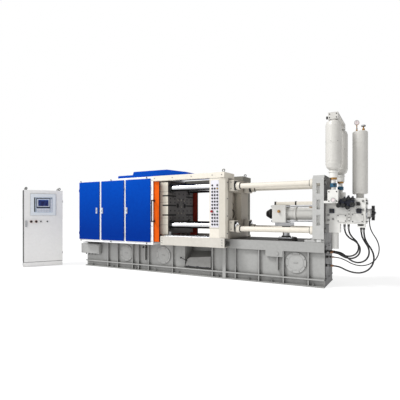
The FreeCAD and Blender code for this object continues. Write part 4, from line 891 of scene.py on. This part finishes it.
def make_shot_fittings():
    bands = Fitting("shot_cylinder_bands", "grey")
    bands.sleeve("x", (0, SHOT), (0.1028, 0.124), (1.985, 2.020), 48)
    bands.sleeve("x", (0, SHOT), (0.1028, 0.116), (2.335, 2.360), 48)
    bands.sleeve("x", (0, SHOT), (0.1028, 0.112), (1.864, 1.884), 48)
    bands.done()
    ties = Fitting("shot_tie_rods", "steel")
    for across in (-0.125, 0.125):
        for over in (-0.125, 0.125):
            ties.rod("x", (across, SHOT + over), 0.011, (1.864, 2.36), 0.001, 18)
            ties.hexagon("x", (across, SHOT + over), 0.019, (1.612, 1.630))
            ties.rod("x", (across, SHOT + over), 0.011, (1.604, 1.613), 0.001, 18)
    ties.done(0)
    head = Fitting("shot_head_gland", "black_iron")
    head.sleeve("x", (0, SHOT), (0.0384, 0.095), (1.618, 1.630), 40)
    for step in range(8):
        turn = math.radians(45 * step)
        head.bolt("x", (0.08 * math.cos(turn), SHOT + 0.08 * math.sin(turn)), 1.618, -1, 0.006)
    head.done(0)
    ports = Fitting("shot_ports", "brass")
    ports.hexagon("y", (1.75, SHOT + 0.04), 0.026, (-0.1495, -0.172))
    ports.rod("y", (1.75, SHOT + 0.04), 0.017, (-0.170, -0.196))
    ports.sleeve("z", (2.25, 0.0), (0.012, 0.030), (1.2435, 1.262))
    ports.hexagon("z", (2.25, 0.0), 0.022, (1.258, 1.280))
    ports.done(0)
    coupling = Fitting("plunger_coupling", "black_iron", "shot_plunger")
    coupling.sleeve("x", (0, SHOT), (0.0375, 0.060), (1.578, 1.600), 36)
    coupling.turned("x", (0, SHOT), ((0.030, 1.487), (0.044, 1.490), (0.050, 1.501)), 36)
    for step in range(6):
        turn = math.radians(60 * step)
        coupling.bolt("x", (0.062 * math.cos(turn), SHOT + 0.062 * math.sin(turn)), 1.5795, 1, 0.006)
    coupling.done(0)
    clamp = Fitting("rail_clamps", "black_iron")
    for low, high in ((1.636, 1.662), (1.99, 2.012), (2.33, 2.352)):
        clamp.block((low, high), (-0.034, 0.034), (1.286, 1.352))
        clamp.bolt("y", ((low + high) / 2, 1.319), -0.034, -1, 0.006)
    clamp.done()
    jack = Fitting("jack_collars", "black_iron")
    jack.sleeve("z", (1.834, 0), (0.0602, 0.078), (0.741, 0.765), 36)
    jack.sleeve("z", (1.834, 0), (0.0602, 0.072), (0.905, 0.930), 36)
    jack.block((1.722, 1.946), (-0.112, 0.112), (0.7005, 0.722))
    for along in (1.745, 1.923):
        for side in (-0.09, 0.09):
            jack.bolt("z", (along, side), 0.741, 1, 0.010)
    jack.done()
    dome = Fitting("bed_filler_dome", "black")
    dome.turned("z", (2.03, -0.20), ((0.050, 0.700), (0.050, 0.716), (0.042, 0.722), (0.040, 0.745),
                                     (0.030, 0.757), (0.010, 0.762)), 32)
    dome.done()
    foot = Fitting("end_plate_bolts", "zinc")
    for side in (-0.36, -0.24, 0.24, 0.36):
        foot.bolt("z", (2.28, side), 0.730, 1, 0.014)
    for side, up in SHOT_BAR_PLACES:
        foot.hexagon("x", (side, up), 0.040, (2.530, 2.552))
    foot.done(0)
    rings = Fitting("shot_bar_rings", "black_iron")
    for place in SHOT_BAR_PLACES:
        rings.sleeve("x", place, (0.0452, 0.056), (1.136, 1.146))
        rings.sleeve("x", place, (0.0452, 0.056), (2.305, 2.315))
    rings.done()


def make_valve_fittings():
    body = Fitting("solenoid_bodies", "navy")
    ends = Fitting("solenoid_caps", "black")
    coils = Fitting("solenoid_rings", "zinc")
    for along, up, size, reach in ((2.735, 1.262, 0.033, 0.428), (2.800, 1.262, 0.033, 0.436),
                                   (2.925, 1.275, 0.036, 0.440), (2.862, 1.232, 0.030, 0.446),
                                   (2.815, 1.352, 0.030, 0.412), (2.868, 1.372, 0.028, 0.405),
                                   (2.925, 1.362, 0.026, 0.396)):
        body.rod("y", (along, up), size * 0.86, (-0.300, -reach + 0.028), 0.003)
        ends.turned("y", (along, up), ((size * 0.9, -reach + 0.030), (size, -reach + 0.026), (size, -reach + 0.004),
                                       (size * 0.88, -reach), (size * 0.3, -reach), (size * 0.25, -reach + 0.004)))
        coils.sleeve("y", (along, up), (size * 0.85, size * 0.97), (-reach + 0.036, -reach + 0.044), 28)
        body.block((along - 0.012, along + 0.012), (-reach + 0.032, -reach + 0.062), (up + size * 0.7, up + size + 0.014))
    body.block((2.75, 2.93), (-0.366, -0.3595), (1.245, 1.352))
    body.done()
    coils.done(0)
    ends.block((2.60, 2.65), (-0.331, -0.3215), (1.160, 1.205))
    ends.block((2.982, 3.03), (-0.331, -0.3215), (1.160, 1.205))
    ends.block((2.975, 3.02), (-0.318, -0.2995), (1.262, 1.312))
    ends.block((2.56, 2.66), (-0.29, -0.20), (0.972, 0.986))
    ends.block((2.99, 3.07), (-0.29, -0.10), (0.958, 0.986))
    ends.done()
    gauge = Fitting("manifold_gauge_rim", "steel")
    gauge.sleeve("y", (2.665, 1.345), (0.026, 0.032), (-0.459, -0.478), 36)
    gauge.done(0)
    face = Fitting("manifold_gauge_face", "dial")
    face.turned("y", (2.665, 1.345), ((0.0265, -0.459), (0.0265, -0.474), (0.025, -0.4745)), 36)
    face.done(0)
    flange = Fitting("manifold_flange", "grey")
    flange.block((2.852, 2.888), (-0.307, -0.2995), (1.02, 1.235))
    flange.block((2.70, 2.835), (-0.312, -0.2995), (1.015, 1.125))
    flange.block((2.905, 3.065), (-0.309, -0.2995), (1.01, 1.14))
    flange.done()
    screws = Fitting("manifold_screws", "black_iron")
    for up in (1.035, 1.085, 1.135, 1.185, 1.22):
        screws.bolt("y", (2.870, up), -0.307, -1, 0.008)
    for along in (2.715, 2.82):
        for up in (1.03, 1.11):
            screws.bolt("y", (along, up), -0.312, -1, 0.008)
    for along in (2.92, 3.05):
        for up in (1.025, 1.125):
            screws.bolt("y", (along, up), -0.309, -1, 0.008)
    for across in (-0.27, -0.12, 0.11):
        for up in (1.02, 1.34):
            screws.bolt("x", (across, up), 3.095, 1, 0.010)
            screws.bolt("x", (across, up), 2.530 - 0.0005, -1, 0.004)
    screws.done(0)
    plugs = Fitting("port_plugs", "zinc")
    for along, up in ((2.575, 1.04), (2.575, 1.12), (2.64, 1.06), (2.575, 1.32), (2.64, 1.32), (2.70, 1.27),
                      (3.06, 1.20), (3.06, 1.33)):
        plugs.hexagon("y", (along, up), 0.017, (-0.2995, -0.311))
        plugs.rod("y", (along, up), 0.011, (-0.310, -0.316))
    for across in (-0.20, -0.05, 0.06):
        for up in (1.08, 1.30):
            if (across, up) != (-0.20, 1.08):
                plugs.hexagon("x", (across, up), 0.018, (3.0945, 3.108))
    for along in (2.8, 2.9, 3.0):
        plugs.hexagon("y", (along, 1.15), 0.020, (0.1395, 0.155))
    plugs.done(0)
    throttle = Fitting("throttle_body_rings", "steel")
    throttle.sleeve("x", (-0.20, 1.15), (0.0618, 0.072), (3.100, 3.116), 40)
    throttle.sleeve("x", (-0.20, 1.15), (0.0618, 0.067), (3.150, 3.160), 40)
    throttle.done()
    hub = Fitting("throttle_hub", "steel", "throttle_wheel")
    hub.turned("x", (-0.20, 1.15), ((0.018, 3.2195), (0.018, 3.226), (0.012, 3.230), (0.005, 3.231)))
    hub.done(0)
    necks = Fitting("accumulator_collars", "grey")
    rings = Fitting("accumulator_rings", "brass")
    screws = Fitting("accumulator_screws", "black_iron")
    teal = Fitting("accumulator_fittings", "teal")
    for side in (-0.385, 0.385):
        out = -1 if side < 0 else 1
        necks.sleeve("z", (2.66, side), (0.0615, 0.072), (1.765, 1.785), 40)
        rings.sleeve("z", (2.66, side), (0.0335, 0.050), (1.655, 1.695), 32)
        teal.rod("z", (2.66, side), 0.048, (1.540, 1.60), 0.003)
        teal.hexagon("y", (2.68, 1.575), 0.020, (side + out * 0.044, side + out * 0.068))
        screws.rod("y", (2.68, 1.575), 0.012, (side + out * 0.066, side + out * 0.084))
        for along in (-0.055, 0.055):
            for up in (1.33, 1.47):
                screws.bolt("y", (2.66 + along, up), side + out * 0.075, out, 0.009)
        for along in (2.615, 2.705):
            for across in (-0.035, 0.035):
                screws.bolt("z", (along, side + across), 2.665 - 0.0003, 1, 0.0003)
        for along in (-0.05, 0.05):
            for up in (2.585, 2.64):
                screws.bolt("y", (2.66 + along, up), side + out * 0.056, out, 0.008)
        screws.turned("x", (side, 2.60), ((0.020, 2.556), (0.024, 2.560), (0.024, 2.574), (0.016, 2.580)))
    necks.done(0)
    rings.done(0)
    screws.done(0)
    teal.done(0)
    bands = Fitting("accumulator_bands", "bottle")
    for side in (-0.385, 0.385):
        bands.sleeve("z", (2.66, side), (0.1145, 0.1165), (2.196, 2.202), 64)
        bands.sleeve("z", (2.66, side), (0.1145, 0.1165), (1.93, 1.936), 64)
    bands.sleeve("z", (3.005, -0.10), (0.1085, 0.1105), (2.21, 2.216), 64)
    bands.sleeve("z", (3.005, -0.10), (0.1085, 0.1105), (1.50, 1.506), 64)
    bands.done(0)
    dots = Fitting("accumulator_dots", "black_iron")
    for side in (-0.385, 0.385):
        for turn in (-150, -100, -50):
            angle = math.radians(turn)
            spot = (2.66 + 0.1155 * math.cos(angle), side + 0.1155 * math.sin(angle))
            dots.turned("z", spot, ((0.003, 2.218), (0.0045, 2.220), (0.0045, 2.226), (0.003, 2.228)), 16)
    dots.done(0)
    gauge = Fitting("gauge_bezel", "steel")
    gauge.sleeve("y", (2.958, 2.542), (0.031, 0.0365), (-0.1175, -0.1225), 40)
    gauge.hexagon("z", (2.958, -0.10), 0.013, (2.445, 2.462))
    gauge.done(0)
    face = Fitting("gauge_face", "dial")
    face.turned("y", (2.958, 2.542), ((0.0312, -0.1178), (0.0312, -0.1195), (0.030, -0.120)), 40)
    face.done(0)
    needle = Fitting("gauge_needle", "black")
    needle.block((-0.0012, 0.0012), (-0.1212, -0.1202), (-0.006, 0.024),
                 None)
    for step in range(11):
        turn = math.radians(225 - 27 * step)
        tick = (0.026 * math.cos(turn), 0.026 * math.sin(turn))
        needle.rod("y", tick, 0.0012, (-0.1207, -0.1202), 0.0002, 8)
    needle.frame = Matrix.Translation((2.958, 0, 2.542))
    needle.done(0)
    spokes = Fitting("gas_wheel_hub", "steel", "gas_handwheel")
    spokes.rod("z", (3.052, -0.10), 0.009, (2.4935, 2.501), 0.001, 20)
    spokes.sleeve("z", (3.052, -0.10), (0.0295, 0.0325), (2.477, 2.489), 32)
    spokes.done(0)


def make_hose_ends():
    ferrules = Fitting("hose_ferrules", "copper")
    crimps = Fitting("hose_crimps", "zinc")
    nuts = Fitting("hose_nuts", "dark_steel")
    for name, (diameter, points) in HOSES.items():
        top, foot = points[0], points[-1]
        grip = diameter / 2 + 0.0032
        crimps.sleeve("z", (top[0], top[1]), (diameter / 2 - 0.001, grip), (top[2] - 0.040, top[2]), 24)
        ferrules.sleeve("x", (foot[1], foot[2]), (diameter / 2 - 0.001, grip), (foot[0], foot[0] + 0.040), 24)
        nuts.hexagon("z", (top[0], top[1]), 0.0205, (top[2] + 0.001, top[2] + 0.019))
        nuts.hexagon("x", (foot[1], foot[2]), 0.0205, (foot[0] - 0.020, foot[0] - 0.001))
    ferrules.done(0)
    crimps.done(0)
    nuts.done(0)


def make_cabinet_fittings():
    stand = Matrix.Translation((-3.455, -1.28, 0)) @ Matrix.Rotation(math.radians(57), 4, "Z")
    door = "cabinet_door"
    seam = Fitting("window_seam", "black_iron", door, stand)
    for low, high in ((1.105, 1.1065), (1.5735, 1.575)):
        seam.block((0.140, 0.648), (-0.0124, -0.0110), (low, high))
    for low, high in ((0.140, 0.1415), (0.6465, 0.648)):
        seam.block((low, high), (-0.0124, -0.0110), (1.105, 1.575))
    seam.done(0)
    bezel = Fitting("screen_bezel", "bezel", door, stand)
    bezel.block((0.210, 0.576), (-0.0170, -0.0115), (1.170, 1.500))
    bezel.done(0.002)
    column = Fitting("screen_dark_strip", "black", door, stand)
    column.block((0.213, 0.236), (-0.0182, -0.0165), (1.180, 1.492))
    for step in range(3):
        column.block((0.540 + 0.012 * step, 0.548 + 0.012 * step), (-0.0182, -0.0165), (1.470, 1.484))
    column.done(0.0006)
    surround = Fitting("screen_surround", "navy", door, stand)
    surround.block((0.256, 0.534), (-0.0180, -0.0165), (1.262, 1.482))
    surround.done(0.0008)
    rim = Fitting("screen_rim", "latch", door, stand)
    rim.block((0.272, 0.518), (-0.0188, -0.0165), (1.294, 1.464))
    rim.done(0.0010)
    glass = Fitting("screen_glass", "glass", door, stand)
    glass.block((0.292, 0.500), (-0.0196, -0.0180), (1.308, 1.446))
    glass.done(0.0008)
    keys = Fitting("screen_keys", "plate", door, stand)
    for step in range(8):
        low = 0.270 + 0.0315 * step
        keys.block((low, low + 0.024), (-0.0190, -0.0165), (1.226, 1.250))
        keys.block((low, low + 0.024), (-0.0190, -0.0165), (1.188, 1.212))
    for line in range(8):
        keys.block((0.541, 0.565), (-0.0190, -0.0165), (1.190 + 0.034 * line, 1.212 + 0.034 * line))
    keys.done(0.0008)
    rings = Fitting("control_rings", "zinc", door, stand)
    reds = Fitting("control_red_rings", "ring_red", door, stand)
    caps = Fitting("control_caps", "black", door, stand)
    for radius, along in ((0.024, 0.157), (0.024, 0.254), (0.013, 0.346), (0.013, 0.474)):
        holder = reds if radius > 0.02 else rings
        holder.sleeve("y", (along, 0.972), (radius + 0.0002, radius * 1.18), (-0.0065, -0.0005), 36)
        caps.turned("y", (along, 0.972), ((radius * 0.96, -0.0255), (radius * 0.96, -0.030),
                                          (radius * 0.75, -0.034), (radius * 0.2, -0.0355)), 32)
        caps.block((along - 0.003, along + 0.003), (-0.038, -0.030), (0.972 - radius * 0.6, 0.972 + radius * 0.6))
    rings.done(0)
    reds.done(0)
    caps.done(0.0006)
    # Black strips on the door's left edge and foot: a gasket and the seam at the foot; the left strip is also painted
    # shade for the cabinet's shadowed side edge.
    gasket = Fitting("cabinet_gasket_and_side_shade", "black", door, stand)
    gasket.block((0.003, 0.016), (-0.0012, 0.0002), (0.106, 1.642))
    gasket.block((0.003, 0.787), (-0.0008, 0.0002), (0.1005, 0.106))
    gasket.done(0)
    lock = Fitting("cabinet_lock", "steel", door, stand)
    lock.rod("y", (0.0575, 0.885), 0.009, (-0.0175, -0.023))
    lock.block((0.050, 0.065), (-0.0230, -0.0175), (0.915, 0.978))
    lock.done(0.0008)
    plinth = Fitting("cabinet_plinth_cover", "cabinet", BODY, stand)
    plinth.block((0.002, 0.788), (0.001, 0.419), (0.0, 0.0975))
    plinth.done(0.0015)
    feet = Fitting("cabinet_plinth_screws", "zinc", BODY, stand)
    for along in (0.03, 0.395, 0.76):
        feet.bolt("y", (along, 0.05), 0.001, -1, 0.004)
        feet.bolt("y", (along, 0.05), 0.419, 1, 0.004)
    for along in (0.03, 0.395, 0.76):
        for up in (0.13, 0.72, 0.84, 1.62):
            feet.bolt("y", (along, up), 0.42, 1, 0.006)
    feet.done(0)
    side = Fitting("cabinet_side_vents", "black", BODY, stand)
    for line in range(9):
        side.block((0.7895, 0.793), (0.12, 0.34), (1.25 + 0.026 * line, 1.261 + 0.026 * line))
        side.block((-0.003, 0.0005), (0.12, 0.34), (1.25 + 0.026 * line, 1.261 + 0.026 * line))
    side.block((0.02, 0.77), (0.4195, 0.4215), (0.78, 0.784))
    side.done(0.0008)
    strip = Fitting("cabinet_cap_strip", "cabinet", BODY, stand)
    strip.block((0.001, 0.789), (0.023, 0.419), (1.6495, 1.654))
    strip.done(0.0015)


def make_fittings():
    make_guard_fittings()
    make_panel()
    make_platen_fittings()
    make_bed_fittings()
    make_shot_fittings()
    make_valve_fittings()
    make_hose_ends()
    make_cabinet_fittings()


# ---------------------------------------------------------------------------------------------
# Build
# ---------------------------------------------------------------------------------------------
make_studio()
make_hoses()
finish_nodes()
make_fittings()
